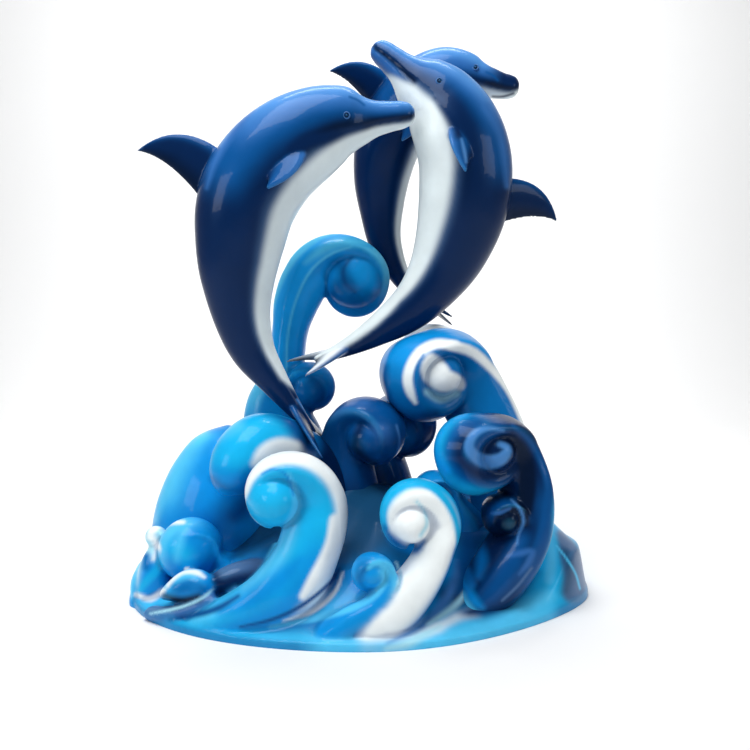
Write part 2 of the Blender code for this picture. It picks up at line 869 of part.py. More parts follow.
def swell(item, amount):
    """Move every face of a mesh outward by the given amount, sharp edges included.

    Each corner takes the step that fits all its faces best: the solution of the sum of n n^T
    times the step = the sum of n times the amount, over the normals n of the faces round it.
    """
    mesh = item.data
    places = np.empty(len(mesh.vertices) * 3)
    mesh.vertices.foreach_get("co", places)
    normals = np.empty(len(mesh.polygons) * 3)
    mesh.polygon_normals.foreach_get("vector", normals)
    sides = np.empty(len(mesh.polygons), dtype=np.int32)
    mesh.polygons.foreach_get("loop_total", sides)
    normals = np.repeat(normals.reshape(-1, 3), sides, axis=0)
    corners = np.empty(len(mesh.loops), dtype=np.int32)
    mesh.loops.foreach_get("vertex_index", corners)
    system = np.tile(np.eye(3) * 0.02, (len(mesh.vertices), 1, 1))
    np.add.at(system, corners, normals[:, :, None] * normals[:, None, :])
    wanted = np.zeros((len(mesh.vertices), 3))
    np.add.at(wanted, corners, normals * amount)
    steps = np.linalg.solve(system, wanted[:, :, None])[:, :, 0]
    mesh.vertices.foreach_set("co", places + steps.ravel())
    mesh.update()


def paint(item, name, colour, roughness):
    """Give an object one plain glossy material."""
    material = bpy.data.materials.new(name)
    material.use_nodes = True
    shader = material.node_tree.nodes["Principled BSDF"]
    shader.inputs["Base Color"].default_value = (*colour, 1.0)
    shader.inputs["Roughness"].default_value = roughness
    shader.inputs["Metallic"].default_value = 0.0
    item.data.materials.clear()
    item.data.materials.append(material)


for old in list(bpy.data.objects):
    bpy.data.objects.remove(old, do_unlink=True)

sculpture = collect("fiberglass_dolphin_sculpture")
guides = collect("guides")

wave_forms = [mound_part()]
for form in WAVES.values():
    wave_forms.extend(wave_parts(**form))
wave_base = solid("wave_base", wave_forms, sculpture)
fuse(wave_base, WAVE_SKIN, 3, WAVE_FACES)
cut_flat(wave_base)
true_up(wave_base, BASE_LENGTH, BASE_DEPTH)
paint(wave_base, "wave_blue_gelcoat", (0.01, 0.28, 0.75), 0.22)

DOLPHINS = {
    "left_dolphin": (LEFT_SPINE, LEFT_SIDE, LEFT_GIRTH, LEFT_FIN_PLACE, LEFT_FLIPPER_DROP),
    "middle_dolphin": (
        MIDDLE_SPINE,
        MIDDLE_SIDE,
        MIDDLE_GIRTH,
        MIDDLE_FIN_PLACE,
        MIDDLE_FLIPPER_DROP,
    ),
    "rear_dolphin": (REAR_SPINE, REAR_SIDE, REAR_GIRTH, REAR_FIN_PLACE, REAR_FLIPPER_DROP),
}
dolphins = []
for dolphin_name, sizes in DOLPHINS.items():
    dolphin = solid(dolphin_name, dolphin_parts(*sizes), sculpture)
    fuse(dolphin, DOLPHIN_SKIN, 2, DOLPHIN_FACES)
    paint(dolphin, dolphin_name + "_gelcoat", (0.01, 0.04, 0.20), 0.20)
    dolphins.append(dolphin)

true_height([wave_base, *dolphins], SCULPTURE_HEIGHT)

for dolphin in dolphins:
    pocket = bpy.data.objects.new(dolphin.name + "_pocket", dolphin.data.copy())
    guides.objects.link(pocket)
    swell(pocket, BOND_SEAM)
    pocket.hide_render = True
    pocket.display_type = "WIRE"
    seat = wave_base.modifiers.new(dolphin.name + "_seat", "BOOLEAN")
    seat.operation = "DIFFERENCE"
    seat.solver = "EXACT"
    seat.object = pocket
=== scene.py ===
# %% [markdown]
# # Three dolphins leaping over a mound of waves
# The real sculpture is glass-fibre laminate, laid up in moulds, bonded, filled, airbrushed and
# finished with a clear glossy gel coat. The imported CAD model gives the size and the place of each
# casting; this lesson dresses it with finer surfaces of the same shapes and with the paintwork.

import math

import bmesh
import bpy
import numpy as np
from mathutils import Matrix, Vector


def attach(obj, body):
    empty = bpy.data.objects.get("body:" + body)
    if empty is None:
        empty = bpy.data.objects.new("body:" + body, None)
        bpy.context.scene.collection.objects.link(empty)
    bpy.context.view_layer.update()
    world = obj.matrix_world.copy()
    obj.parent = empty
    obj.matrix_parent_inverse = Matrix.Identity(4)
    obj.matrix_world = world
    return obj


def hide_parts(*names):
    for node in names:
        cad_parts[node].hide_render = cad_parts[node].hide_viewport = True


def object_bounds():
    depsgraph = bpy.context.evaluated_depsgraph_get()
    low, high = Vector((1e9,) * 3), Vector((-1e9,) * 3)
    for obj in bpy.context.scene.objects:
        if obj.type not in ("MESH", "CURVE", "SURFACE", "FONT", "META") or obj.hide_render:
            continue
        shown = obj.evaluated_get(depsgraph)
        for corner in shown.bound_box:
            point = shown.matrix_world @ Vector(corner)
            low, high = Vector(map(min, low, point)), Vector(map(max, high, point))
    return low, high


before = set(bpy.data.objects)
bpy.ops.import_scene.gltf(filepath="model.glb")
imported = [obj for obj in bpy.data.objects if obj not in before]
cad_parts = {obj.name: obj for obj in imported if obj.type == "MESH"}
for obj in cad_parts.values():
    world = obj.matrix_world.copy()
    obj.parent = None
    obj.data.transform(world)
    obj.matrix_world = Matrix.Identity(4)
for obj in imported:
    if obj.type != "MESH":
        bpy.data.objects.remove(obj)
cad_low, cad_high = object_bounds()
print("CAD box", [round(v, 3) for v in cad_low], [round(v, 3) for v in cad_high])

# %% [markdown]
# ## Camera
# The sculpture is seen from straight in front and a little above its middle, from three and a half
# metres away. The small sideways shift puts it where the picture has it.

# %% Set up the camera
CAMERA_PLACE = (0.0, -3.5, 1.15)
CAMERA_DIP = math.radians(6.3)
CAMERA_LENS = 48.13
CAMERA_SHIFT = 0.0187

scene = bpy.context.scene
camera = bpy.data.objects.new("camera", bpy.data.cameras.new("camera"))
scene.collection.objects.link(camera)
camera.location = CAMERA_PLACE
camera.rotation_euler = (math.pi / 2 - CAMERA_DIP, 0, 0)
camera.data.lens = CAMERA_LENS
camera.data.sensor_width = 36.0
camera.data.shift_x = CAMERA_SHIFT
scene.camera = camera
print("camera at", CAMERA_PLACE)

# %% [markdown]
# ## Small tools
# Every form here is a closed grid of points: rings carried along a path. The tools below smooth a
# row of given values into a curve, measure along it, and turn rings into corners and faces.

# %% Curves
UP = np.array([0.0, 0.0, 1.0])


def unit(rows):
    """Rows scaled to length one."""
    return rows / np.linalg.norm(rows, axis=-1, keepdims=True)


def metres(rows):
    """Given millimetres as an array of metres."""
    return np.array(rows, float) / 1000


def smooth(low, high, x):
    """Zero below low, one above high, and 3s^2 - 2s^3 between, where s is the share of the way."""
    s = np.clip((x - low) / (high - low), 0.0, 1.0)
    return s * s * (3 - 2 * s)


def spline(places, rows, wanted):
    """Cubic Hermite curve through rows at places, with each slope the mean of its neighbours'."""
    places = np.asarray(places, float)
    rows = np.asarray(rows, float)
    slopes = np.gradient(rows, places, axis=0)
    index = np.clip(np.searchsorted(places, wanted, "right") - 1, 0, len(places) - 2)
    gap = (places[index + 1] - places[index])[:, None]
    s = (wanted - places[index])[:, None] / gap
    start, end = rows[index], rows[index + 1]
    leave = s * (1 - s) ** 2 * gap * slopes[index]
    arrive = s * s * (s - 1) * gap * slopes[index + 1]
    return start + (end - start) * s * s * (3 - 2 * s) + leave + arrive


def along(rows):
    """Distance walked along rows of points, starting at zero."""
    steps = np.linalg.norm(np.diff(rows, axis=0), axis=1)
    return np.concatenate([[0.0], np.cumsum(steps)])


# %% Closed grids
def skin(rings, paint):
    """Corners, faces and colours of a tube through rings of points, each end fanned shut."""
    count, sides, _ = rings.shape
    ends = np.array([rings[0].mean(axis=0), rings[-1].mean(axis=0)])
    corners = np.concatenate([rings.reshape(-1, 3), ends])
    end_paint = np.array([paint[0].mean(axis=0), paint[-1].mean(axis=0)])
    colours = np.concatenate([paint.reshape(-1, 3), end_paint])
    ring, side = np.meshgrid(np.arange(count - 1), np.arange(sides), indexing="ij")
    following = (side + 1) % sides
    walls = np.stack(
        [
            ring * sides + side,
            ring * sides + following,
            (ring + 1) * sides + following,
            (ring + 1) * sides + side,
        ],
        axis=-1,
    ).reshape(-1, 4)
    edge = np.arange(sides)
    after = (edge + 1) % sides
    last = (count - 1) * sides
    first_fan = np.stack([np.full(sides, count * sides), after, edge], axis=1)
    last_fan = np.stack([np.full(sides, count * sides + 1), last + edge, last + after], axis=1)
    return corners, walls.tolist() + first_fan.tolist() + last_fan.tolist(), colours


# %% [markdown]
# ## Paint
# The colours were sprayed on in soft-edged strokes; some strokes are painted shade, painted shadow,
# painted highlights and painted reflections. A hex value is what the eye sees on the screen, so it
# is turned to linear light before it is mixed. A stroke on a wave is given in the wave's own
# measures: how far along it runs, and in which lane between the inside of the curl, -1, and its
# outside, +1.

# %% Colours
def linear(code):
    """Linear colour of an sRGB hex code: c / 12.92 when dark, else ((c + 0.055) / 1.055)^2.4."""
    c = np.array([int(code[i : i + 2], 16) for i in (1, 3, 5)]) / 255.0
    return np.where(c <= 0.04045, c / 12.92, ((c + 0.055) / 1.055) ** 2.4)


PALETTE = {
    name: linear(code)
    for name, code in dict(
        foam="#f2f8f8",
        ice="#a6dcec",
        sky="#52c4f2",
        cyan="#16b0e6",
        sea="#0a8fda",
        azure="#12a0ee",
        deep="#046aae",
        royal="#054a88",
        navy="#03204a",
        night="#02122e",
        slate="#4c6e98",
        teal="#17496f",
        steel="#4a86c6",
        haze="#2f66a8",
        belly="#dfe9ea",
    ).items()
}
STROKE_FADE = 0.35


def spread(under, tint, cover):
    """Paint of one tint laid over what is under it, where cover runs from nothing to one."""
    return under + (PALETTE[tint] - under) * np.asarray(cover)[..., None]


def stroke(run, lane, a, u):
    """Cover of a stroke: one within its half width of its lane, fading over its softness.

    run is (start, end), lane is (place at start, place at end, half width at start, half width
    at end, softness), a is how far along each point lies and u its place across.
    """
    s = np.clip((a - run[0]) / (run[1] - run[0]), 0.0, 1.0)
    middle = lane[0] + (lane[1] - lane[0]) * s
    half = lane[2] + (lane[3] - lane[2]) * s
    across = 1 - smooth(half - lane[4], half + lane[4], np.abs(u - middle))
    begun = smooth(run[0] - STROKE_FADE, run[0] + STROKE_FADE, a)
    ended = smooth(run[1] - STROKE_FADE, run[1] + STROKE_FADE, a)
    return across * begun * (1 - ended)


print(len(PALETTE), "colours")

# %% [markdown]
# ## Waves
# Each wave is a tapering horn that climbs from its root and curls round a ball at its eye. Across,
# it is a rounded slab with a proud ridge near its outer edge, a bevel outside the ridge and a dish
# inside it, as the moulded ones have. Another way is to sculpt the whole mass by hand, but a horn
# along a path keeps each curl clean and lets the paint follow it.

# %% Section of a wave
SECTION_POWER = 2.9
AROUND = 88
ALONG = 150
# Knot numbers between which dish and bevel grow in, where a plump wave starts to round off and
# over how many it does; a wave without a curl is round from before its first knot.
RELIEF_FROM = -3.2
RELIEF_FULL = -0.4
PLUMP_FROM = -1.5
PLUMP_RUN = 2.3
BEFORE_ROOT = -9.0
BALL_ROWS = 48
BALL_SIDES = 72
POLE_GAP = 0.03
SECTION_FINENESS = 721


def section():
    """Outline of a slab, |u|^p + |v|^p = 1, read at evenly spaced distances round it."""
    turn = np.linspace(0, 2 * math.pi, SECTION_FINENESS)
    c, s = np.cos(turn), np.sin(turn)
    u = np.sign(c) * np.abs(c) ** (2 / SECTION_POWER)
    v = np.sign(s) * np.abs(s) ** (2 / SECTION_POWER)
    walked = along(np.column_stack([u, v]))
    even = np.linspace(0, walked[-1], AROUND, endpoint=False)
    return np.interp(even, walked, u), np.interp(even, walked, v)


SECTION_U, SECTION_V = section()
print(len(SECTION_U), "points round a section")


# %% A horn
def horn(knots, numbers, bearing, coats, base, ridge=0.42, dish=0.22, bevel=0.30, plump=0.0,
         plump_from=PLUMP_FROM):
    """Slab section carried along knots of place, half thickness and half depth.

    Point = centre + u * half thickness * outward + v * half depth * sideways, where v is lowered
    inside the ridge by the dish and outside it by the bevel, and drawn toward the oval
    sqrt(1 - u^2) past the knot where a plump wave rounds off. Numbers count the knots: below zero
    on the root, then quarter turns round the eye.
    """
    across = np.array([-math.sin(bearing), math.cos(bearing), 0.0])
    walked = along(knots[:, :3])
    stations = np.linspace(0, walked[-1], ALONG)
    rows = spline(walked, knots, stations)
    a = np.interp(stations, walked, numbers)[:, None]
    centre = rows[:, :3]
    forward = unit(np.gradient(centre, stations, axis=0))
    outward = unit(np.cross(forward, across))
    sideways = np.cross(outward, forward)
    u = np.broadcast_to(SECTION_U, (ALONG, AROUND))
    relief = smooth(RELIEF_FROM, RELIEF_FULL, a)
    lowered = dish * relief * smooth(0.0, 1.0, (ridge - u) / (ridge + 1.0))
    chamfer = bevel * relief * smooth(0.0, 1.0, (u - ridge) / (1.0 - ridge))
    oval = np.sign(SECTION_V) * np.sqrt(np.clip(1 - SECTION_U**2, 0, 1))
    full = SECTION_V + (oval - SECTION_V) * plump * smooth(plump_from, plump_from + PLUMP_RUN, a)
    depth = rows[:, 4, None] * full * (1 - lowered) * (1 - chamfer)
    rings = (
        centre[:, None, :]
        + (rows[:, 3, None] * u)[:, :, None] * outward[:, None, :]
        + depth[:, :, None] * sideways[:, None, :]
    )
    return skin(rings, coat(base, coats, a, u))


# %% Strokes along a wave
def coat(base, coats, a, u):
    """Base colour with each stroke laid over it in turn.

    A stroke that starts on the root is laid once, any other on every turn of the curl.
    """
    paint = np.broadcast_to(PALETTE[base], np.broadcast_shapes(a.shape, u.shape) + (3,))
    for tint, run, lane in coats:
        turns = (0,) if run[0] < 0 else (-4, 0, 4)
        cover = np.maximum.reduce([stroke(run, lane, a + whole, u) for whole in turns])
        paint = spread(paint, tint, cover)
    return paint


# %% A ball
def ball(eye, bearing, radius, half_depth, coats, base):
    """Ball at the eye: sine and cosine of two angles, squashed along the level axis.

    Its strokes use the same turn as the horn's, and lanes from -2 at its pole to -1 at its rim.
    """
    ahead = np.array([math.cos(bearing), math.sin(bearing), 0.0])
    across = np.array([-math.sin(bearing), math.cos(bearing), 0.0])
    tilt = np.linspace(POLE_GAP, math.pi - POLE_GAP, BALL_ROWS)[:, None]
    turn = np.linspace(0, 2 * math.pi, BALL_SIDES, endpoint=False)[None, :]
    reach = np.sin(tilt) * np.ones_like(turn)
    rings = (
        eye
        + radius * (reach * np.cos(turn))[..., None] * ahead
        + radius * (reach * np.sin(turn))[..., None] * UP
        + half_depth * (np.cos(tilt) * np.ones_like(turn))[..., None] * across
    )
    a = np.mod(math.pi - turn, 2 * math.pi) / (math.pi / 2) * np.ones_like(tilt)
    return skin(rings, coat(base, coats, a, reach - 2.0))


# %% A whole wave
# Degrees between the curl's knots, its inner edge as a share of the ball's radius, its overlap with
# the ball, and the turns in degrees by which an open throat has closed and between which the curl
# narrows to its tail.
CURL_STEP = 15.0
CORE_SHARE = 0.45
CURL_OVERLAP = 0.004
THROAT_CLOSED = 110.0
NARROW_FROM = 45.0
NARROW_TO = 240.0


def wave(root, coats, base, eye=None, heading=0, reach=(), radius=0, depth=0, throat=None,
         ball_depth=1.0, tail=0.4, **shape):
    """All the closed forms of one wave: its horn and, where it has an eye, its ball.

    The curl loses depth as it winds, down to its tail's share, so that the ball stands proud. Its
    inner edge lies within the ball, so that ball and curl flow together; a wave with an open
    throat starts further out.
    """
    bearing = math.radians(heading)
    root = metres(root)
    numbers = np.arange(-len(root), 0, dtype=float)
    if not reach:
        return [horn(root, numbers, bearing, coats, base, plump_from=BEFORE_ROOT, **shape)]
    eye, reach, radius, depth = (metres(value) for value in (eye, reach, radius, depth))
    ahead = np.array([math.cos(bearing), math.sin(bearing), 0.0])
    quarters = np.arange(len(reach)) * 90.0
    turned = np.arange(0.0, quarters[-1] + 1, CURL_STEP)
    outer = spline(quarters, reach[:, None], turned)[:, 0]
    core = radius * CORE_SHARE
    start = core if throat is None else metres(throat)
    inner = start + (core - start) * smooth(0.0, THROAT_CLOSED, turned)
    angle = np.radians(180.0 - turned)
    curl = eye + ((outer + inner) / 2)[:, None] * (
        np.cos(angle)[:, None] * ahead + np.sin(angle)[:, None] * UP
    )
    narrowing = 1 - (1 - tail) * smooth(NARROW_FROM, NARROW_TO, turned)
    rows = np.column_stack([curl, (outer - inner) / 2 + CURL_OVERLAP, depth * narrowing])
    knots = np.concatenate([root, rows])
    numbers = np.concatenate([numbers, turned / 90.0])
    return [
        horn(knots, numbers, bearing, coats, base, **shape),
        ball(eye, bearing, radius, depth * ball_depth, coats, base),
    ]


# %% [markdown]
# The low waves stand on the skirt; the left, right and centre crests rise behind them. Each record
# gives in millimetres the eye, the reach at each quarter turn, the ball's radius, the depth and the
# points its root climbs through (x, y, z, half thickness, half depth). The heading it curls toward
# is in degrees. A wave without an eye is a ridge along its root.

# %% Low waves at the front
FRONT_WAVES = dict(
    front_left=dict(
        eye=(-276, -400, 420), heading=190, reach=(220, 130, 85, 98), radius=88, depth=95, base="cyan",
        dish=0.34, ridge=0.3, bevel=0.35, ball_depth=1.3, tail=0.25,
        root=((-560, -370, -20, 50, 60), (-420, -440, 30, 75, 80), (-250, -450, 120, 105, 95),
            (-170, -420, 245, 100, 95)),
        coats=(
            ("sea", (-3.6, -0.8), (0.1, 0.2, 0.55, 0.45, 0.35)),
            ("sky", (-3.6, 0.6), (-0.85, -0.8, 0.16, 0.12, 0.15)),
            ("foam", (-1.9, 2.5), (0.74, 0.9, 0.36, 0.2, 0.1)),
        ),
    ),
    front_white=dict(
        eye=(148, -430, 352), heading=193, reach=(165, 127, 85, 88), radius=66, depth=80, base="foam",
        dish=0.25, ridge=0.3, bevel=0.25, ball_depth=1.3, tail=0.25,
        root=((-60, -520, -20, 60, 70), (50, -510, 45, 70, 80), (160, -470, 145, 66, 80),
            (230, -440, 265, 58, 80)),
        coats=(
            ("cyan", (-2.2, 3.6), (0.98, 0.95, 0.2, 0.34, 0.1)),
            ("deep", (-3.4, -0.8), (1.0, 1.0, 0.45, 0.35, 0.35)),
            ("sea", (-1.6, 0.2), (1.0, 1.0, 0.3, 0.3, 0.2)),
        ),
    ),
    front_small=dict(
        eye=(30, -500, 207), heading=205, reach=(72, 58, 60, 55), radius=46, depth=55, base="sea",
        tail=0.35,
        root=((-140, -540, -20, 55, 50), (-30, -540, 50, 58, 55), (55, -520, 115, 42, 55)),
        coats=(
            ("sky", (-3.0, 0.8), (0.2, 0.3, 0.45, 0.4, 0.3)),
            ("deep", (1.2, 3.2), (0.4, 0.4, 0.6, 0.6, 0.3)),
            ("sky", (-0.8, 0.8), (-1.5, -1.5, 0.4, 0.4, 0.25)),
        ),
    ),
)
print(len(FRONT_WAVES), "low waves at the front")

# %% Low waves at the left
LOW_LEFT_WAVES = dict(
    left_low=dict(
        eye=(-572, -210, 196), heading=200, reach=(92, 84, 80), radius=110, depth=92, base="sea",
        ball_depth=1.1, tail=0.6, plump=1.0,
        root=((-450, -200, -20, 90, 110), (-460, -180, 100, 80, 100)),
        coats=(("sky", (0.9, 2.1), (-1.05, -1.05, 0.12, 0.12, 0.12)),),
    ),
    left_knob_low=dict(
        eye=(-703, -160, 226), heading=185, reach=(40, 34, 30, 30), radius=30, depth=40, base="ice",
        tail=0.6, plump=1.0,
        root=((-705, -170, 0, 60, 70), (-700, -170, 130, 52, 55), (-682, -160, 200, 30, 45)),
        coats=(("sea", (-3.5, -1.6), (0.2, 0.2, 1.2, 1.0, 0.3)),),
    ),
    left_front=dict(
        base="sea", dish=0.0, bevel=0.0, plump=1.0,
        root=((-645, -350, 85, 14, 20), (-605, -360, 105, 34, 50), (-555, -360, 120, 52, 60),
            (-510, -360, 118, 48, 60), (-475, -350, 105, 25, 30)),
        coats=(("sky", (-4.8, -2.2), (0.95, 0.95, 0.45, 0.4, 0.25)),),
    ),
    left_navy=dict(
        heading=208, base="navy", dish=0.0, bevel=0.0, plump=1.0,
        root=((-280, -260, 110, 60, 60), (-345, -300, 128, 62, 60), (-405, -330, 135, 52, 52),
            (-455, -355, 132, 36, 38), (-482, -370, 128, 22, 24)),
        coats=(("slate", (-4.5, -1.8), (0.9, 0.9, 0.35, 0.3, 0.3)),),
    ),
    left_ridge=dict(
        base="haze", dish=0.0, bevel=0.0, plump=1.0,
        root=((-690, -330, 20, 20, 30), (-640, -375, 32, 22, 30), (-563, -405, 50, 24, 30),
            (-500, -410, 78, 22, 30), (-462, -405, 100, 14, 20)),
        coats=(("slate", (-4.8, -1.2), (0.9, 0.9, 0.4, 0.4, 0.25)),),
    ),
    left_lip=dict(
        base="sea",
        root=((-746, -100, -30, 46, 140), (-751, -100, 35, 46, 120), (-748, -120, 85, 36, 90),
            (-728, -130, 115, 20, 50)),
        coats=(("sky", (-2.6, -0.6), (0.8, 0.8, 0.5, 0.5, 0.3)),),
    ),
)
print(len(LOW_LEFT_WAVES), "low waves at the left")

# %% Low waves at the rear
REAR_WAVES = dict(
    rear_left=dict(
        eye=(-360, 420, 400), heading=20, reach=(200, 140, 100, 95), radius=85, depth=95, base="sea",
        root=((-500, 340, 0, 100, 110), (-545, 380, 200, 85, 100)),
        coats=(("foam", (-1.4, 1.6), (0.75, 0.7, 0.3, 0.3, 0.15)),),
    ),
    rear_middle=dict(
        eye=(60, 470, 360), heading=10, reach=(180, 130, 85, 80), radius=75, depth=85, base="cyan",
        root=((20, 480, -20, 90, 100), (-95, 480, 180, 75, 90)),
        coats=(("foam", (-1.4, 1.6), (0.75, 0.7, 0.3, 0.3, 0.15)),),
    ),
)
print(len(REAR_WAVES), "low waves at the rear")

# %% Left crests
LEFT_CRESTS = dict(
    tall_left=dict(
        eye=(-25, 310, 1095), reach=(272, 157, 130, 138, 110), radius=112, depth=85, throat=100,
        base="deep", dish=0.3, ridge=0.35, bevel=0.4, ball_depth=1.15, tail=0.35,
        root=((-220, 220, 100, 150, 160), (-300, 230, 420, 135, 130), (-325, 270, 620, 108, 110),
            (-285, 290, 760, 70, 95), (-266, 310, 920, 70, 88), (-248, 310, 1000, 84, 86)),
        coats=(
            ("sea", (-4.5, 3.6), (0.2, 0.2, 0.8, 0.9, 0.5)),
            ("sky", (-4.2, 2.2), (0.8, 0.8, 0.36, 0.36, 0.08)),
            ("sea", (0.6, 2.6), (-1.7, -1.7, 0.5, 0.5, 0.35)),
        ),
    ),
    left_knob=dict(
        eye=(-186, 220, 695), heading=-10, reach=(108, 93, 88, 84), radius=78, depth=75, base="deep",
        tail=0.5, plump=1.0,
        root=((-220, 160, 200, 110, 120), (-224, 200, 480, 92, 90)),
        coats=(("sea", (0.5, 2.5), (0.3, 0.3, 0.9, 0.9, 0.4)),),
    ),
    left_mid=dict(
        heading=224, base="sea", dish=0.0, bevel=0.0, plump=1.0,
        root=((-120, 0, 60, 130, 140), (-125, 0, 250, 120, 125), (-150, -5, 380, 108, 110),
            (-200, -40, 475, 98, 98), (-270, -105, 528, 103, 105), (-350, -165, 539, 111, 108),
            (-402, -205, 495, 100, 102), (-420, -230, 435, 78, 80), (-418, -235, 392, 40, 45)),
        coats=(
            ("navy", (-9.4, -5.6), (0.0, 0.0, 1.6, 1.6, 0.4)),
            ("cyan", (-4.8, -2.4), (0.5, 0.5, 0.7, 0.7, 0.4)),
            ("foam", (-5.4, -4.4), (-0.3, -0.3, 0.55, 0.55, 0.25)),
        ),
    ),
    left_dome=dict(
        base="sea", dish=0.0, bevel=0.0, plump=1.0,
        root=((-520, 40, -20, 245, 200), (-518, 50, 120, 245, 200), (-505, 60, 280, 230, 190),
            (-482, 80, 410, 188, 160), (-455, 100, 500, 130, 115), (-435, 110, 555, 52, 50)),
        coats=(("sky", (-4.0, -1.8), (0.95, 0.95, 0.3, 0.3, 0.25)),),
    ),
)
print(len(LEFT_CRESTS), "left crests")

# %% Right and centre crests
RIGHT_CRESTS = dict(
    right_upper=dict(
        eye=(236, 30, 772), heading=212, reach=(252, 141, 166, 172, 130), radius=98, depth=150,
        base="deep", dish=0.22, ridge=0.4, bevel=0.3, tail=0.75, plump=0.8,
        root=((560, 20, 20, 130, 170), (525, 60, 250, 95, 150), (493, 60, 480, 104, 140)),
        coats=(("sea", (0.2, 2.0), (0.9, 0.9, 0.35, 0.35, 0.3)),),
    ),
    right_navy=dict(
        eye=(410, -250, 548), heading=210, reach=(168, 115, 183, 140, 105), radius=78, depth=120,
        base="navy", dish=0.25, ridge=0.45, bevel=0.3, tail=0.75, plump=0.8,
        root=((310, -370, 10, 55, 70), (445, -300, 130, 80, 100), (535, -240, 270, 75, 110),
            (545, -220, 400, 74, 110)),
        coats=(
            ("royal", (1.0, 3.0), (0.6, 0.5, 0.8, 0.9, 0.4)),
            ("cyan", (1.5, 2.8), (1.0, 0.9, 0.35, 0.55, 0.3)),
        ),
    ),
    right_inner=dict(
        eye=(462, -270, 325), heading=195, reach=(85, 70, 62, 60), radius=55, depth=85, base="night",
        tail=0.5, plump=0.5,
        root=((400, -300, 50, 60, 80), (500, -270, 200, 45, 80)),
        coats=(("royal", (-0.9, 2.0), (0.6, 0.6, 0.3, 0.3, 0.3)),),
    ),
)
CENTRE_CRESTS = dict(
    centre_navy=dict(
        eye=(50, -30, 548), heading=-38, reach=(200, 132, 95, 95), radius=90, depth=110, base="royal",
        tail=0.6, plump=0.8,
        root=((20, 20, 100, 150, 160), (-50, 40, 330, 120, 120)),
        coats=(("navy", (-3.0, -0.8), (0.0, 0.0, 1.2, 1.0, 0.3)),),
    ),
    centre_back=dict(
        eye=(165, 220, 540), heading=-25, reach=(150, 135, 115, 105), radius=100, depth=120,
        base="deep", tail=0.6, plump=1.0,
        root=((120, 220, 100, 150, 150), (95, 240, 340, 90, 120)),
        coats=(("royal", (1.6, 3.4), (0.2, 0.2, 1.2, 1.2, 0.5)),),
    ),
    middle_hump=dict(
        eye=(255, -60, 355), heading=190, reach=(90, 78, 70, 70), radius=68, depth=90, base="deep",
        tail=0.6, plump=1.0,
        root=((360, -40, 50, 120, 120), (345, -50, 250, 85, 110)),
        coats=(("sea", (0.2, 1.8), (0.6, 0.6, 0.6, 0.6, 0.4)),),
    ),
    rear_right=dict(
        eye=(255, 400, 772), heading=195, reach=(185, 145, 110, 105), radius=95, depth=100, base="sea",
        root=((500, 340, 20, 140, 150), (480, 370, 320, 100, 120), (445, 390, 580, 80, 105)),
        coats=(("foam", (-1.4, 1.6), (0.75, 0.7, 0.3, 0.3, 0.15)),),
    ),
)
print(len(RIGHT_CRESTS), "right crests,", len(CENTRE_CRESTS), "centre crests")

# %% [markdown]
# ## Skirt
# Under the waves lies an oval mound whose rim is a thin lip. Its height is a function of the share
# of the way out to the rim and of the turn, with shallow ridges swirling round it like running
# water. A height function keeps the lip even all the way round.

# %% The mound
BASE_LENGTH = 1.60
BASE_DEPTH = 1.24
BASE_LIP = 0.025
RIM_PINCH = 0.33
RIM_BOW = 0.045
MOUND_RISE = 0.36
MOUND_FALL = 1.45
SWIRL_HEIGHT = 0.018
SWIRL_COUNT = 7
SWIRL_TURN = 2.2
MOUND_ROWS = 110
MOUND_SIDES = 400
MOUND_POWER = 1.6
MOUND_UNDER = 0.05
MOUND_CROWN = 0.05
MOUND_CROWDING = 0.9
# The steep shoulder at the right end of the skirt: its height, the turns between which it stands,
# how softly it fades at both, and the shares of the way in from the rim where its steps end.
SHOULDER_RISE = 0.19
SHOULDER_FRONT = math.radians(-32)
SHOULDER_REAR = math.radians(70)
SHOULDER_FADE = math.radians(14)
SHOULDER_STEP = 0.05
SHOULDER_TOP = 0.22
SHOULDER_FIRST = 0.76
SHOULDER_INNER = 0.45

# Shares of the way out between which the skirt's tints come in, and the covers of two of them.
CYAN_ZONE = (0.70, 0.95)
TEAL_ZONE = (0.45, 0.75)
SWIRL_ZONE = (0.6, 0.8)
SWIRL_CREST = (0.2, 0.9)
SWIRL_COVER = 0.5
EDGE_ZONE = (0.985, 1.0)
EDGE_COVER = 0.8

# Strokes on the skirt, seen from above: tint, softness, and points of (x, y, half width).
SKIRT_STROKES = (
    ("sky", 50, (-100, -600, 50), (150, -600, 50), (400, -530, 50), (620, -380, 50)),
    ("deep", 30, (-450, -470, 20), (-250, -530, 20), (-50, -550, 20)),
    ("foam", 30, (20, -585, 20), (120, -570, 20), (220, -530, 20)),
    ("navy", 50, (280, -400, 40), (360, -380, 40), (440, -360, 40)),
    ("foam", 20, (240, -520, 10), (300, -470, 10), (360, -440, 10)),
)


def line_cover(line, soft, x, y):
    """Cover beside a bent line of (x, y, half width): one within the half width, fading over soft."""
    cover = np.zeros(x.shape)
    for start, end in zip(line[:-1], line[1:]):
        run = end[:2] - start[:2]
        s = np.clip(((x - start[0]) * run[0] + (y - start[1]) * run[1]) / (run @ run), 0.0, 1.0)
        away = np.hypot(x - start[0] - s * run[0], y - start[1] - s * run[1])
        half = start[2] + (end[2] - start[2]) * s
        cover = np.maximum(cover, 1 - smooth(half - soft, half + soft, away))
    return cover


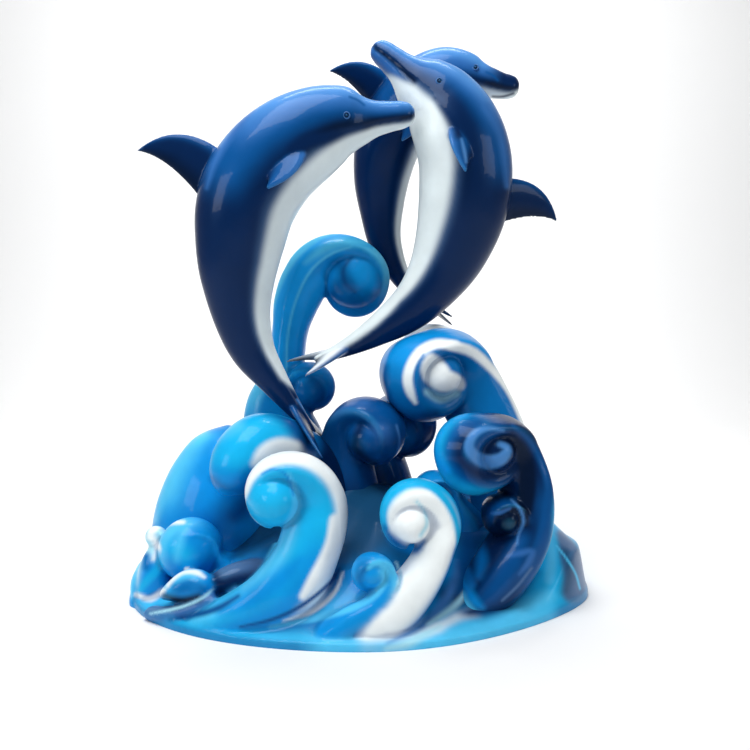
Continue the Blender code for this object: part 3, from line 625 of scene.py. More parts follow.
def shoulder(share, turn):
    """Height of the shoulder: two smooth steps up inward from the rim and one long fall.

    It stands over a window of turns.
    """
    turn = np.mod(turn + math.pi, 2 * math.pi) - math.pi
    window = smooth(SHOULDER_FRONT - SHOULDER_FADE, SHOULDER_FRONT + SHOULDER_FADE, turn)
    window = window * (1 - smooth(SHOULDER_REAR - SHOULDER_FADE, SHOULDER_REAR + SHOULDER_FADE, turn))
    first = SHOULDER_FIRST * smooth(0.0, SHOULDER_STEP, 1 - share)
    second = (1 - SHOULDER_FIRST) * smooth(SHOULDER_STEP, SHOULDER_TOP, 1 - share)
    fall = smooth(SHOULDER_INNER, 1 - SHOULDER_TOP, share)
    return SHOULDER_RISE * window * (first + second) * fall


def mound():
    """Lip + rise * (1 - share^power)^fall + swirl ridges + shoulder, over an oval plan.

    The oval is pinched toward its right end and bowed a little forward at both ends.
    """
    share = np.linspace(MOUND_CROWN, 1.0, MOUND_ROWS)[::-1] ** MOUND_CROWDING
    turn = np.linspace(0, 2 * math.pi, MOUND_SIDES, endpoint=False)
    share, turn = np.meshgrid(share, turn, indexing="ij")
    rise = MOUND_RISE * (1 - share**MOUND_POWER) ** MOUND_FALL + shoulder(share, turn)
    swirl = np.cos(SWIRL_COUNT * turn + SWIRL_TURN * share * math.pi)
    ridge = SWIRL_HEIGHT * swirl * np.sin(math.pi * share) ** 2
    x = BASE_LENGTH / 2 * share * np.cos(turn)
    pinch = 1 - RIM_PINCH * np.maximum(np.cos(turn), 0) ** 2
    y = share * (BASE_DEPTH / 2 * np.sin(turn) * pinch - RIM_BOW * np.cos(turn) ** 2)
    top = np.stack([x, y, BASE_LIP + rise + ridge], axis=-1)
    paint = np.broadcast_to(PALETTE["sea"], top.shape)
    paint = spread(paint, "cyan", smooth(*CYAN_ZONE, share))
    paint = spread(paint, "teal", 1 - smooth(*TEAL_ZONE, share))
    paint = spread(paint, "sky", SWIRL_COVER * smooth(*SWIRL_CREST, swirl) * smooth(*SWIRL_ZONE, share))
    paint = spread(paint, "deep", EDGE_COVER * smooth(*EDGE_ZONE, share))
    for tint, soft, *line in SKIRT_STROKES:
        paint = spread(paint, tint, line_cover(metres(line), soft / 1000, x, y))
    under = top[:1].copy()
    under[..., 2] = -MOUND_UNDER
    return skin(np.concatenate([under, top]), np.concatenate([paint[:1], paint]))


skirt = mound()
print("skirt", len(skirt[0]), "corners")

# %% [markdown]
# ## One skin over overlapping forms
# In the mould, waves that touch are one laminate with a soft fillet where they meet. Overlapping
# closed forms are therefore wrapped in one even skin by a voxel remesh, softened a little, and the
# paint is carried over from the nearest point of the forms beneath.

# %% Forms as one object
def as_object(name, forms):
    """One mesh object of all the forms, with their colours as the attribute called paint."""
    corners, faces, colours, offset = [], [], [], 0
    for points, polygons, paint in forms:
        corners.append(points)
        colours.append(paint)
        faces.extend([[index + offset for index in polygon] for polygon in polygons])
        offset += len(points)
    mesh = bpy.data.meshes.new(name)
    mesh.from_pydata(np.concatenate(corners).tolist(), [], faces)
    layer = mesh.color_attributes.new("paint", "FLOAT_COLOR", "POINT")
    rows = np.concatenate(colours)
    layer.data.foreach_set("color", np.column_stack([rows, np.ones(len(rows))]).ravel())
    item = bpy.data.objects.new(name, mesh)
    scene.collection.objects.link(item)
    return item


# %% Take the modifiers' result
def take_shape(item):
    """Replace an object's mesh by the result of its modifiers."""
    bpy.context.view_layer.update()
    graph = bpy.context.evaluated_depsgraph_get()
    shape = bpy.data.meshes.new_from_object(item.evaluated_get(graph))
    item.modifiers.clear()
    item.data = shape


# %% Cut off level
def cut_level(item, height):
    """Cut an object off level at a height, keep what is above and close the cut."""
    work = bmesh.new()
    work.from_mesh(item.data)
    found = bmesh.ops.bisect_plane(
        work,
        geom=work.verts[:] + work.edges[:] + work.faces[:],
        plane_co=(0, 0, height),
        plane_no=(0, 0, 1),
        clear_inner=True,
    )
    edges = [edge for edge in found["geom_cut"] if isinstance(edge, bmesh.types.BMEdge)]
    bmesh.ops.triangle_fill(work, edges=edges, use_beauty=True)
    bmesh.ops.recalc_face_normals(work, faces=work.faces)
    work.to_mesh(item.data)
    work.free()


# %% Even out values over a mesh
def corner_rows(source, key, width):
    """Values held at every corner, one row a corner."""
    rows = np.empty(len(source) * width)
    source.foreach_get(key, rows)
    return rows.reshape(-1, width)


def soften_rows(mesh, rows, rounds):
    """Each corner's row moves halfway to the mean of its neighbours' rows, round after round."""
    pairs = np.empty(len(mesh.edges) * 2, dtype=np.int32)
    mesh.edges.foreach_get("vertices", pairs)
    one, other = pairs[0::2], pairs[1::2]
    count = len(mesh.vertices)
    shared = np.bincount(pairs, minlength=count)
    rows = rows.copy()
    for _ in range(rounds):
        for column in range(3):
            value = rows[:, column]
            total = np.bincount(one, value[other], count) + np.bincount(other, value[one], count)
            rows[:, column] = (value + total / shared) / 2
    return rows


# %% Lay the strokes, painted shade and painted highlights
BLEND_ROUNDS = 5
GLASS_PLANE = -0.3
# Front strokes fade in between these shares of facing the front; a curve's points for each given.
FRONT_FROM = -0.25
FRONT_FULL = 0.15
CURVE_POINTS = 3
HOLLOW_ROUNDS = 40
HOLLOW_DEPTH = 0.004
HOLLOW_SHADE = 0.42
PROUD_HEIGHT = 0.004
PROUD_LIGHT = 0.12


def on_glass(places):
    """Where the line from the camera's place to each place crosses the sheet of glass: (x, z)."""
    eye = np.array(CAMERA_PLACE)
    share = (GLASS_PLANE - eye[1]) / (places[:, 1] - eye[1])
    return eye[0] + (places[:, 0] - eye[0]) * share, eye[2] + (places[:, 2] - eye[2]) * share


def paint_strokes_shade_and_highlights(item, strokes):
    """Even the carried paint, lay the front strokes on it and shade the hollows.

    Each stroke is a curve through its points and fades where the surface turns away from the
    front. How hollow a place is, is how far it lies below the mean of its surroundings; hollows
    are darkened as painted shade and proud edges lightened as painted highlights.
    """
    mesh = item.data
    places = corner_rows(mesh.vertices, "co", 3)
    normals = corner_rows(mesh.vertex_normals, "vector", 3)
    layer = mesh.color_attributes["paint"]
    rows = corner_rows(layer.data, "color", 4)
    paint = soften_rows(mesh, rows[:, :3], BLEND_ROUNDS)
    front = smooth(FRONT_FROM, FRONT_FULL, -normals[:, 1])
    x, z = on_glass(places)
    for tint, soft, window, *line in strokes:
        line = metres(line)
        walked = along(line[:, :2])
        curve = spline(walked, line, np.linspace(0, walked[-1], CURVE_POINTS * len(line)))
        nearest, farthest = metres(window)
        within = (places[:, 1] > nearest) & (places[:, 1] < farthest)
        paint = spread(paint, tint, front * within * line_cover(curve, soft / 1000, x, z))
    hollow = ((soften_rows(mesh, places, HOLLOW_ROUNDS) - places) * normals).sum(axis=1)
    paint = np.minimum(paint, spread(paint, "royal", HOLLOW_SHADE * smooth(0.0, HOLLOW_DEPTH, hollow)))
    proud = smooth(PROUD_HEIGHT, 2 * PROUD_HEIGHT, -hollow)
    paint = np.maximum(paint, spread(paint, "sky", PROUD_LIGHT * proud))
    rows[:, :3] = paint
    layer.data.foreach_set("color", rows.ravel())


# %% One casting
SOFTEN_ROUNDS = 3


def shade_smooth(mesh):
    """Light the faces as one rounded surface."""
    mesh.polygons.foreach_set("use_smooth", np.ones(len(mesh.polygons), bool))


def casting(name, forms, strokes, grain, level=None):
    """Wrap forms in one skin of the given grain, soften it, carry the paint over and lay strokes,
    painted shade and painted highlights on it.
    """
    forms = as_object(name + "_forms", forms)
    item = bpy.data.objects.new(name, forms.data.copy())
    scene.collection.objects.link(item)
    wrap = item.modifiers.new("wrap", "REMESH")
    wrap.mode = "VOXEL"
    wrap.voxel_size = grain
    soften = item.modifiers.new("soften", "SMOOTH")
    soften.factor = 0.5
    soften.iterations = SOFTEN_ROUNDS
    take_shape(item)
    if level is not None:
        cut_level(item, level)
    item.data.color_attributes.new("paint", "FLOAT_COLOR", "POINT")
    carry = item.modifiers.new("carry", "DATA_TRANSFER")
    carry.object = forms
    carry.use_vert_data = True
    carry.data_types_verts = {"COLOR_VERTEX"}
    carry.vert_mapping = "POLYINTERP_NEAREST"
    take_shape(item)
    bpy.data.objects.remove(forms, do_unlink=True)
    paint_strokes_shade_and_highlights(item, strokes)
    shade_smooth(item.data)
    print(name, len(item.data.vertices), "corners", len(item.data.polygons), "faces")
    return item


# %% [markdown]
# ## Free strokes
# The last strokes are laid from the front, once each casting is one skin. Each gives its tint
# and, in millimetres, its softness, the nearest and farthest y it reaches and its points of
# (x, z, half width). The points are measured on an upright sheet of glass through the front of the
# sculpture, as seen from the camera's place. The grain of each skin, in metres, is as fine as its
# number of triangles allows.

# %% Gather a group
CREST_LEVEL = 0.004


def gather(group):
    """The forms of every wave in a group."""
    return [form for record in group.values() for form in wave(**record)]


print("crests are cut off level at", CREST_LEVEL)

# %% Cast the skirt
SKIRT_FREE_STROKES = (
    ("sky", 8, (-700, -250), (-235, 475, 5), (-220, 435, 10), (-210, 370, 13), (-240, 300, 13),
        (-280, 225, 13), (-325, 150, 13), (-385, 90, 10)),
    ("sea", 29, (-700, -250), (-200, 185, 13), (-240, 145, 29), (-305, 90, 35), (-380, 45, 32),
        (-460, 15, 16)),
    ("sea", 5, (-700, -250), (-320, 475, 3), (-290, 490, 4), (-250, 480, 4), (-230, 445, 3),
        (-220, 405, 3)),
    ("foam", 10, (-700, -250), (-80, 320, 23), (-90, 245, 26), (-115, 185, 26), (-150, 125, 23),
        (-190, 65, 13)),
    ("royal", 6, (-750, -350), (-70, 160, 3), (-90, 125, 5), (-140, 75, 6), (-200, 30, 6),
        (-295, -15, 6), (-400, -40, 3)),
    ("foam", 6, (-750, -350), (-60, 145, 3), (-80, 90, 6), (-130, 35, 8), (-190, 0, 8),
        (-255, -20, 3)),
    ("cyan", 8, (-700, -250), (80, 295, 10), (70, 350, 13), (90, 405, 13), (125, 435, 13),
        (170, 450, 13), (225, 435, 13), (270, 395, 13), (305, 335, 11), (320, 265, 10),
        (325, 190, 10)),
    ("steel", 16, (-700, -250), (320, 225, 6), (320, 150, 13), (290, 70, 16), (235, -5, 16),
        (160, -60, 10), (90, -95, 3)),
    # The deep stroke is painted shade under the front white wave's ball.
    ("deep", 13, (-700, -250), (75, 300, 6), (105, 255, 13), (150, 225, 16), (185, 225, 13),
        (205, 250, 6)),
    # The ice line is painted shade in the groove between that ball and its stem.
    ("ice", 8, (-700, -250), (180, 385, 3), (205, 355, 5), (215, 310, 5), (195, 270, 5)),
    ("sea", 10, (-750, -380), (-30, 180, 13), (-35, 125, 16), (-5, 85, 13)),
    ("sky", 8, (-750, -380), (25, 160, 6), (50, 180, 10), (80, 160, 10), (80, 120, 11),
        (50, 75, 13), (-10, 35, 13), (-95, 5, 13), (-200, -20, 10), (-300, -40, 5)),
    ("ice", 6, (-750, -300), (115, 180, 3), (130, 135, 5), (120, 85, 5)),
    ("teal", 39, (-440, 200), (5, 485, 58), (10, 355, 58), (5, 255, 45)),
    ("royal", 29, (-440, 200), (355, 420, 45), (365, 285, 45), (350, 185, 32)),
    ("royal", 29, (-440, 200), (345, 185, 26), (335, 90, 19)),
    ("teal", 29, (-400, 100), (-325, 255, 19), (-395, 215, 16)),
    ("ice", 10, (-700, -300), (220, -30, 6), (280, 10, 10), (325, 50, 10), (345, 85, 3)),
    ("sky", 26, (-700, 0), (260, -85, 13), (395, -45, 23), (525, 10, 26), (615, 65, 23)),
    ("ice", 16, (-700, -300), (85, -115, 6), (145, -100, 13), (210, -65, 13), (260, -40, 6)),
    ("royal", 29, (-660, -150), (345, 10, 13), (405, 15, 23), (470, 40, 23), (530, 85, 16),
        (570, 145, 10)),
    ("navy", 19, (-660, -150), (360, 10, 6), (415, 25, 16), (470, 45, 16), (525, 85, 10)),
    ("slate", 13, (-600, 300), (655, 275, 16), (685, 210, 35), (710, 145, 45), (700, 75, 35)),
    ("teal", 26, (-600, 300), (670, 215, 13), (685, 145, 19), (675, 85, 16)),
    ("steel", 10, (-600, 300), (720, 235, 6), (750, 190, 10), (765, 135, 10)),
    ("sky", 4, (-600, 300), (640, 235, 3), (675, 190, 3), (705, 140, 3), (720, 90, 3)),
    ("sky", 13, (-600, 100), (615, 285, 13), (625, 200, 16), (620, 120, 16)),
    ("cyan", 32, (-500, 50), (-605, 225, 26), (-575, 200, 26)),
    ("sky", 23, (-500, 50), (-580, 295, 10), (-595, 240, 10), (-605, 190, 3)),
    ("foam", 8, (-500, 50), (-690, 265, 10), (-675, 295, 13), (-630, 315, 11), (-580, 315, 6)),
    ("foam", 8, (-500, 50), (-680, 260, 10), (-665, 225, 10), (-680, 190, 6)),
    ("deep", 13, (-500, 50), (-705, 200, 13), (-705, 165, 13)),
    ("cyan", 10, (-500, 50), (-665, 215, 6), (-665, 160, 13), (-700, 120, 13), (-730, 85, 10)),
    ("foam", 8, (-550, 0), (-740, 70, 6), (-695, 55, 10), (-650, 85, 8)),
    ("foam", 8, (-600, -310), (-635, 100, 6), (-615, 130, 10), (-585, 150, 11), (-545, 150, 11),
        (-515, 130, 5)),
    # The deep and night strokes are painted shade under the crest of the small wave at the front left.
    ("deep", 16, (-600, -310), (-605, 90, 19), (-555, 100, 23), (-520, 90, 16)),
    ("night", 13, (-600, -310), (-645, 65, 10), (-595, 50, 13), (-535, 60, 13)),
    ("ice", 5, (-620, -310), (-695, 5, 3), (-645, 15, 5), (-575, 35, 5), (-515, 65, 5),
        (-485, 90, 3)),
    # The royal line is painted shade in the groove below the light ridge.
    ("royal", 10, (-620, -310), (-630, -15, 6), (-550, 0, 10), (-470, 25, 10), (-405, 65, 6)),
)
forms = [skirt] + gather({**FRONT_WAVES, **LOW_LEFT_WAVES, **REAR_WAVES})
waves = [casting("wave_skirt", forms, SKIRT_FREE_STROKES, grain=0.0076, level=0.0)]

# %% Cast the left crests
LEFT_FREE_STROKES = (
    ("azure", 19, (0, 600), (-195, 805, 26), (-190, 940, 32), (-155, 1050, 39), (-100, 1125, 26)),
    ("azure", 8, (0, 600), (-270, 780, 19), (-265, 910, 26), (-240, 1035, 29), (-180, 1150, 29),
        (-110, 1210, 26), (-35, 1235, 19), (35, 1220, 13)),
    # The sky stroke is a painted highlight on the top of the tall left wave's curl.
    ("sky", 16, (0, 600), (-175, 1160, 3), (-130, 1195, 13), (-75, 1220, 16), (-15, 1225, 13),
        (30, 1220, 6)),
    # The thin sky line is a painted highlight along the tall left wave's ridge.
    ("sky", 5, (0, 600), (-240, 805, 3), (-235, 920, 3), (-205, 1045, 3), (-150, 1145, 4),
        (-90, 1190, 4), (-30, 1210, 3)),
    ("azure", 19, (0, 600), (-20, 1160, 19), (10, 1130, 29), (40, 1090, 13)),
    ("royal", 10, (0, 600), (-30, 1175, 3), (-55, 1140, 5), (-50, 1095, 6), (-20, 1065, 3)),
    ("sky", 19, (-400, 350), (-505, 605, 6), (-555, 575, 13), (-605, 500, 13), (-645, 405, 10),
        (-670, 320, 6)),
    ("deep", 45, (-400, 350), (-525, 295, 26), (-455, 320, 39), (-385, 385, 45), (-360, 460, 26)),
    ("royal", 29, (-400, 350), (-410, 335, 16), (-360, 385, 23)),
    ("royal", 26, (-600, -20), (-320, 685, 6), (-250, 665, 19), (-190, 610, 32), (-160, 565, 32)),
    ("foam", 13, (-600, -20), (-340, 510, 16), (-315, 540, 26), (-265, 565, 29), (-215, 560, 23)),
    ("deep", 19, (-600, -20), (-485, 460, 6), (-435, 425, 10), (-370, 420, 16), (-305, 440, 19)),
    ("sky", 29, (-600, -20), (-450, 610, 13), (-400, 635, 16)),
)
forms = gather(LEFT_CRESTS)
waves.append(casting("left_crests", forms, LEFT_FREE_STROKES, grain=0.0068, level=CREST_LEVEL))

# %% Cast the right crests
RIGHT_FREE_STROKES = (
    ("sea", 16, (-240, 300), (100, 870, 19), (130, 915, 26), (180, 940, 26), (245, 940, 23),
        (325, 920, 16), (400, 875, 13), (465, 795, 10)),
    ("royal", 19, (-240, 300), (80, 825, 6), (75, 755, 13), (105, 690, 16), (170, 650, 16),
        (240, 675, 13)),
    ("foam", 8, (-240, 300), (175, 710, 6), (160, 740, 13), (150, 785, 16), (165, 840, 16),
        (190, 875, 16), (240, 900, 16), (300, 895, 16)),
    ("foam", 8, (-120, 300), (290, 895, 16), (355, 875, 16), (415, 825, 13), (475, 755, 13),
        (515, 675, 13), (550, 585, 13), (580, 485, 10)),
    ("foam", 10, (-240, 300), (225, 850, 19), (235, 815, 42), (260, 785, 39), (310, 775, 26)),
    ("ice", 13, (-240, 300), (215, 745, 10), (255, 725, 13), (305, 740, 10)),
    # The deep line is a painted shadow between the white crescent and the ball.
    ("deep", 6, (-240, 300), (200, 865, 3), (180, 830, 4), (175, 780, 5), (195, 740, 3)),
    ("deep", 10, (-240, 300), (280, 850, 10), (315, 830, 16)),
    ("deep", 10, (-120, 300), (315, 830, 16), (355, 795, 26), (390, 720, 42), (410, 620, 51)),
    ("deep", 23, (-600, -120), (365, 650, 26), (310, 605, 32), (295, 545, 32), (330, 480, 29),
        (385, 455, 16)),
    ("azure", 19, (-600, -120), (335, 675, 10), (280, 660, 16), (245, 625, 23), (225, 575, 26),
        (240, 530, 23), (275, 490, 13)),
    # The royal and navy strokes round the whorl of the navy wave are painted shade.
    ("royal", 19, (-600, -120), (385, 645, 13), (340, 625, 23), (315, 585, 26), (310, 530, 26),
        (350, 480, 26), (415, 455, 23), (460, 475, 23)),
    ("navy", 19, (-600, -120), (355, 610, 13), (325, 580, 16), (320, 530, 19), (350, 495, 19),
        (410, 470, 23), (465, 485, 23), (495, 535, 16)),
    ("royal", 29, (-600, -120), (525, 255, 26), (490, 165, 39), (440, 85, 39), (385, 30, 26)),
    ("deep", 19, (-600, -120), (390, 235, 13), (395, 185, 19), (385, 135, 13)),
    ("steel", 8, (-600, -120), (460, 620, 3), (405, 625, 8), (365, 605, 13), (350, 565, 16),
        (375, 530, 19), (420, 515, 23), (460, 530, 19), (475, 560, 13), (450, 575, 10)),
    # The night stroke is painted shade in the crevice inside the navy wave's rim.
    ("night", 10, (-600, -120), (445, 595, 3), (475, 595, 10), (510, 565, 19), (535, 510, 26),
        (540, 435, 29), (530, 355, 29)),
    # The royal stroke is a painted highlight along the navy wave's right rim.
    ("royal", 10, (-600, -120), (490, 635, 6), (550, 580, 10), (590, 510, 13), (610, 435, 13),
        (605, 345, 13), (585, 260, 13), (555, 185, 10)),
    # The steel arc is a painted highlight on the small dark curl's ball.
    ("steel", 5, (-600, -120), (490, 390, 3), (520, 355, 5), (530, 315, 5), (515, 275, 4),
        (510, 240, 3)),
    # The haze mark is a painted highlight on the same ball.
    ("haze", 5, (-600, -120), (425, 345, 3), (445, 345, 6), (485, 360, 4)),
    ("royal", 10, (-600, -120), (370, 365, 10), (375, 350, 6)),
    # The haze patch is a painted reflection low on the navy wave.
    ("haze", 10, (-600, -120), (480, 200, 3), (520, 210, 10), (560, 215, 10), (550, 180, 10),
        (520, 140, 3)),
    ("deep", 13, (-600, -120), (325, 200, 10), (345, 145, 16), (365, 105, 13)),
    ("sea", 16, (-600, -120), (330, 125, 6), (350, 85, 16), (370, 50, 16), (400, 25, 6)),
    ("sky", 10, (-600, -120), (335, 75, 6), (345, 45, 10), (370, 15, 8), (400, 0, 3)),
    ("slate", 5, (-600, -120), (560, 160, 4), (515, 100, 4), (465, 50, 4)),
)
forms = gather(RIGHT_CRESTS)
waves.append(casting("right_crests", forms, RIGHT_FREE_STROKES, grain=0.0062, level=CREST_LEVEL))

# %% Cast the centre crests
CENTRE_FREE_STROKES = (
    ("navy", 16, (-350, 100), (0, 635, 10), (-15, 585, 16), (5, 530, 16), (40, 510, 13)),
    # The haze patch is a painted highlight on top of the centre curl's ball.
    ("haze", 19, (-350, 100), (40, 625, 16), (75, 610, 23), (85, 580, 13)),
    ("royal", 16, (-350, 100), (50, 550, 19), (80, 545, 16)),
    # The thin steel line is a painted highlight along that ball's rim.
    ("steel", 5, (-350, 100), (115, 635, 3), (125, 590, 3), (115, 535, 3)),
    # The haze stroke is a painted reflection on the top of the centre curl.
    ("haze", 23, (-350, 100), (-85, 675, 10), (-35, 705, 13), (15, 710, 6)),
    ("sea", 19, (-100, 400), (160, 730, 13), (205, 710, 19), (225, 655, 13)),
)
forms = gather(CENTRE_CRESTS)
waves.append(casting("centre_crests", forms, CENTRE_FREE_STROKES, grain=0.0078, level=CREST_LEVEL))

# %% [markdown]
# ## Dolphins
# A dolphin is a body lofted along its back line. One outline table of half height and half width
# serves all three, as one set of moulds would. The forehead bulges above the beak, the mouth is a
# pressed groove, and the fins are thin foils whose two bowed edges meet at the tip. Sculpting each
# by hand would also do; the loft keeps left and right alike.

# %% Outline of a dolphin
# Share of the length from beak to tail, half height, half width, and how far the back and the
# belly stand out against the half height.
OUTLINE = np.array(
    (
        (0.000, 0.009, 0.009, 1.00, 1.00),
        (0.007, 0.019, 0.018, 1.00, 1.00),
        (0.020, 0.025, 0.024, 1.00, 1.00),
        (0.050, 0.030, 0.029, 0.96, 1.00),
        (0.085, 0.038, 0.035, 0.90, 1.00),
        (0.108, 0.048, 0.043, 0.94, 1.03),
        (0.130, 0.058, 0.053, 1.04, 1.07),
        (0.160, 0.068, 0.062, 1.05, 1.09),
        (0.220, 0.086, 0.076, 1.01, 1.06),
        (0.330, 0.100, 0.090, 0.99, 1.00),
        (0.450, 0.097, 0.088, 0.99, 1.00),
        (0.550, 0.081, 0.073, 1.00, 1.02),
        (0.660, 0.058, 0.051, 1.00, 1.04),
        (0.740, 0.046, 0.037, 1.00, 1.00),
        (0.820, 0.031, 0.024, 1.00, 1.00),
        (0.880, 0.021, 0.016, 1.00, 1.00),
        (0.930, 0.013, 0.013, 1.00, 1.00),
        (0.965, 0.008, 0.010, 1.00, 1.00),
    )
)
COMMON_LENGTH = 1.62
BODY_POWER = 2.15
BODY_STATIONS = 300
BODY_SIDES = 112
LEAPER_GRAIN = 0.0046
MOUTH_DEPTH = 0.004
MOUTH_WIDTH = 0.16
# Shares of the length between which a beak's own girth gives way to the body's.
BEAK_END = 0.07
BROW_START = 0.12
# Fins in metres on a dolphin of the common length, and how deep their roots are sunk.
FIN_THICKNESS = 0.020
DORSAL_FIN_CHORD = 0.170
DORSAL_FIN_HEIGHT = 0.250
DORSAL_FIN_SWEEP = 0.165
DORSAL_FIN_SINK = 0.03
FLIPPER_PLACE = 0.275
FLIPPER_TILT = math.radians(45)
FLIPPER_LENGTH = 0.20
FLIPPER_CHORD = 0.120
FLIPPER_TWIST = 0.018
FLIPPER_SINK = 0.035
FLUKE_SPAN = 0.195
FLUKE_CHORD = 0.155
FLUKE_SWEEP = 0.085
FLUKE_SINK = 0.01
FLUKE_THICKNESS = 0.015
print("dolphin outline of", len(OUTLINE), "stations")

# %% Back lines and paintwork
# Each spine is points of the back line in millimetres, from beak to tail; side is the way the
# dolphin's flank faces. The flippers sit below the middle by their drop, a share of the half height,
# and nearer the beak by their lead, a share of the length. Strokes run in tenths of the length from
# the beak, in lanes from belly, -1, to back, +1. Mouth and belly lines are rows of (tenths from the
# beak, lane), white below the belly line, and an eye is (share of the length, lane).
DOLPHINS = dict(
    left_leaper=dict(
        spine=((182, -30, 1664), (100, -30, 1655), (15, -30, 1646), (-72, -30, 1638), (-190, -30, 1590),
            (-317, -30, 1487), (-386, -30, 1375), (-416, -30, 1235), (-425, -30, 1100),
            (-412, -30, 970), (-374, -30, 855), (-302, -40, 748), (-246, -50, 672), (-165, -60, 568)),
        side=(0.0, 1.0, 0.0), girth=1.06, fin_place=0.379, flipper_drop=0.15, flipper_lead=0.02,
        eye=(0.143, 0.02), fluke_tint="navy",
        mouth=((0.0, -0.42), (0.6, -0.4), (1.12, -0.44)),
        belly=((0.0, -0.72), (0.9, -0.52), (2.0, -0.52), (3.5, -0.56), (5.5, -0.6), (7.1, -0.5),
            (8.3, -0.55), (8.9, -1.3), (9.7, -1.3)),
        coats=(
            ("royal", (-1.0, 4.2), (0.5, 0.6, 0.6, 0.5, 0.3)),
            ("haze", (-1.0, 3.3), (0.6, 0.8, 0.55, 0.3, 0.25)),
            ("steel", (-1.0, 3.0), (0.9, 0.98, 0.42, 0.22, 0.22)),
            ("navy", (7.6, 9.8), (-0.6, -0.6, 0.4, 0.4, 0.2)),
            ("night", (1.15, 2.55), (-0.32, -0.34, 0.2, 0.22, 0.12)),
            ("night", (-0.3, 1.2), (-0.36, -0.36, 0.24, 0.26, 0.1)),
        ),
    ),
    middle_leaper=dict(
        spine=((44, 140, 1924), (119, 130, 1864), (193, 120, 1801), (281, 110, 1722), (342, 100, 1617),
            (369, 110, 1517), (370, 120, 1413), (343, 130, 1266), (295, 130, 1146), (216, 110, 1036),
            (53, 70, 915), (-76, 30, 850), (-160, 10, 818)),
        side=(0.33, -0.94, 0.0), girth=1.05, fin_place=0.394, flipper_drop=0.27, eye=(0.174, 0.04),
        fluke_tint="foam",
        mouth=((0.0, -0.43), (0.7, -0.45), (1.4, -0.42)),
        belly=((0.0, -1.3), (0.6, -1.05), (1.0, -0.72), (1.4, -0.44), (2.0, -0.44), (3.7, -0.6),
            (5.2, -0.66), (7.3, -0.68), (8.5, -0.35), (9.3, -0.1)),
        coats=(
            ("royal", (-1.0, 3.8), (0.5, 0.65, 0.6, 0.45, 0.3)),
            ("haze", (-1.0, 3.0), (0.55, 0.75, 0.6, 0.35, 0.25)),
            ("steel", (-1.0, 2.6), (0.66, 0.85, 0.5, 0.3, 0.22)),
            ("navy", (2.2, 3.1), (-0.25, -0.25, 0.18, 0.24, 0.2)),
            ("haze", (-1.0, 1.2), (-0.76, -0.8, 0.28, 0.24, 0.2)),
        ),
    ),
    rear_leaper=dict(
        spine=((584, 300, 1808), (527, 310, 1813), (469, 310, 1829), (401, 320, 1851), (317, 330, 1854),
            (232, 360, 1810), (164, 400, 1732), (102, 420, 1611), (80, 430, 1500), (77, 430, 1378),
            (92, 420, 1244), (130, 410, 1148), (200, 390, 1045), (297, 370, 975)),
        side=(-0.12, 0.99, 0.0), girth=0.92, beak=1.28, fin_place=0.312, flipper_drop=0.25,
        eye=(0.122, 0.3), fluke_tint="navy",
        mouth=((0.0, -0.35), (0.9, -0.35)),
        belly=((0.0, -0.6), (1.2, -0.55), (4.6, -0.68), (5.8, -0.62), (9.3, -0.45)),
        coats=(
            ("royal", (-1.0, 3.6), (0.45, 0.45, 0.6, 0.5, 0.3)),
            ("haze", (-1.0, 2.8), (0.5, 0.6, 0.6, 0.4, 0.25)),
            ("steel", (0.9, 2.4), (0.85, 0.9, 0.4, 0.28, 0.22)),
            ("navy", (-1.0, 0.8), (0.45, 0.45, 0.6, 0.6, 0.3)),
            ("night", (-0.3, 1.0), (-0.3, -0.3, 0.26, 0.26, 0.1)),
        ),
    ),
)
print(list(DOLPHINS))

# %% A fin
FIN_ROWS = 48
FIN_SIDES = 40
# How far toward the tip the rings run, how much thinner the foil is there, and how much thicker its
# front edge is than its middle.
FIN_END = 0.985
FIN_TAPER = 0.75
FIN_NOSE = 0.35


def fin(front, back, tip, front_bulge, back_bulge, normal, thickness, tints):
    """Foil between two bowed edges: (1-q)^2 start + 2q(1-q) bulge + q^2 tip, oval in section.

    Its three tints run from the front edge over the middle to the back edge.
    """
    q = np.linspace(0, FIN_END, FIN_ROWS)[:, None]

    def bowed(start, bulge):
        """Edge from a start to the tip, drawn toward its bulge."""
        return (1 - q) ** 2 * start + 2 * q * (1 - q) * bulge + q * q * tip

    lead, trail = bowed(front, front_bulge), bowed(back, back_bulge)
    turn = np.linspace(0, 2 * math.pi, FIN_SIDES, endpoint=False)
    c = np.cos(turn)[None, :, None]
    s = np.sin(turn)[None, :, None]
    girth = thickness * (1 - FIN_TAPER * q)[:, :, None] * (1 - FIN_NOSE * c)
    rings = (lead + trail)[:, None, :] / 2 + c * (trail - lead)[:, None, :] / 2
    rings = rings + s * girth * unit(normal)
    chord = np.broadcast_to(c[..., 0], rings.shape[:2])
    paint = np.broadcast_to(PALETTE[tints[1]], rings.shape)
    paint = spread(paint, tints[0], 1 - smooth(-1.0, -0.5, chord))
    paint = spread(paint, tints[2], smooth(0.0, 0.9, chord))
    return skin(rings, paint)


# %% Along a back line
def body_frames(spine, side, count):
    """Share of length, centre, and the axes to the tail, the back and the flank, at stations."""
    knots = metres(spine)
    walked = along(knots)
    stations = np.linspace(0, walked[-1], count)
    centre = spline(walked, knots, stations)
    tailward = unit(np.gradient(centre, stations, axis=0))
    back = unit(np.cross(np.broadcast_to(np.array(side, float), tailward.shape), tailward))
    flank = np.cross(tailward, back)
    return stations / walked[-1], centre, tailward, back, flank


# %% Paint on a hide
# Lanes beside the belly line between which the grey and the white fade out, and the covers of the
# grey and of the mouth's dark line.
GREY_EDGE = (-0.05, 0.22)
GREY_COVER = 0.6
WHITE_EDGE = (-0.14, 0.06)
MOUTH_COVER = 0.95


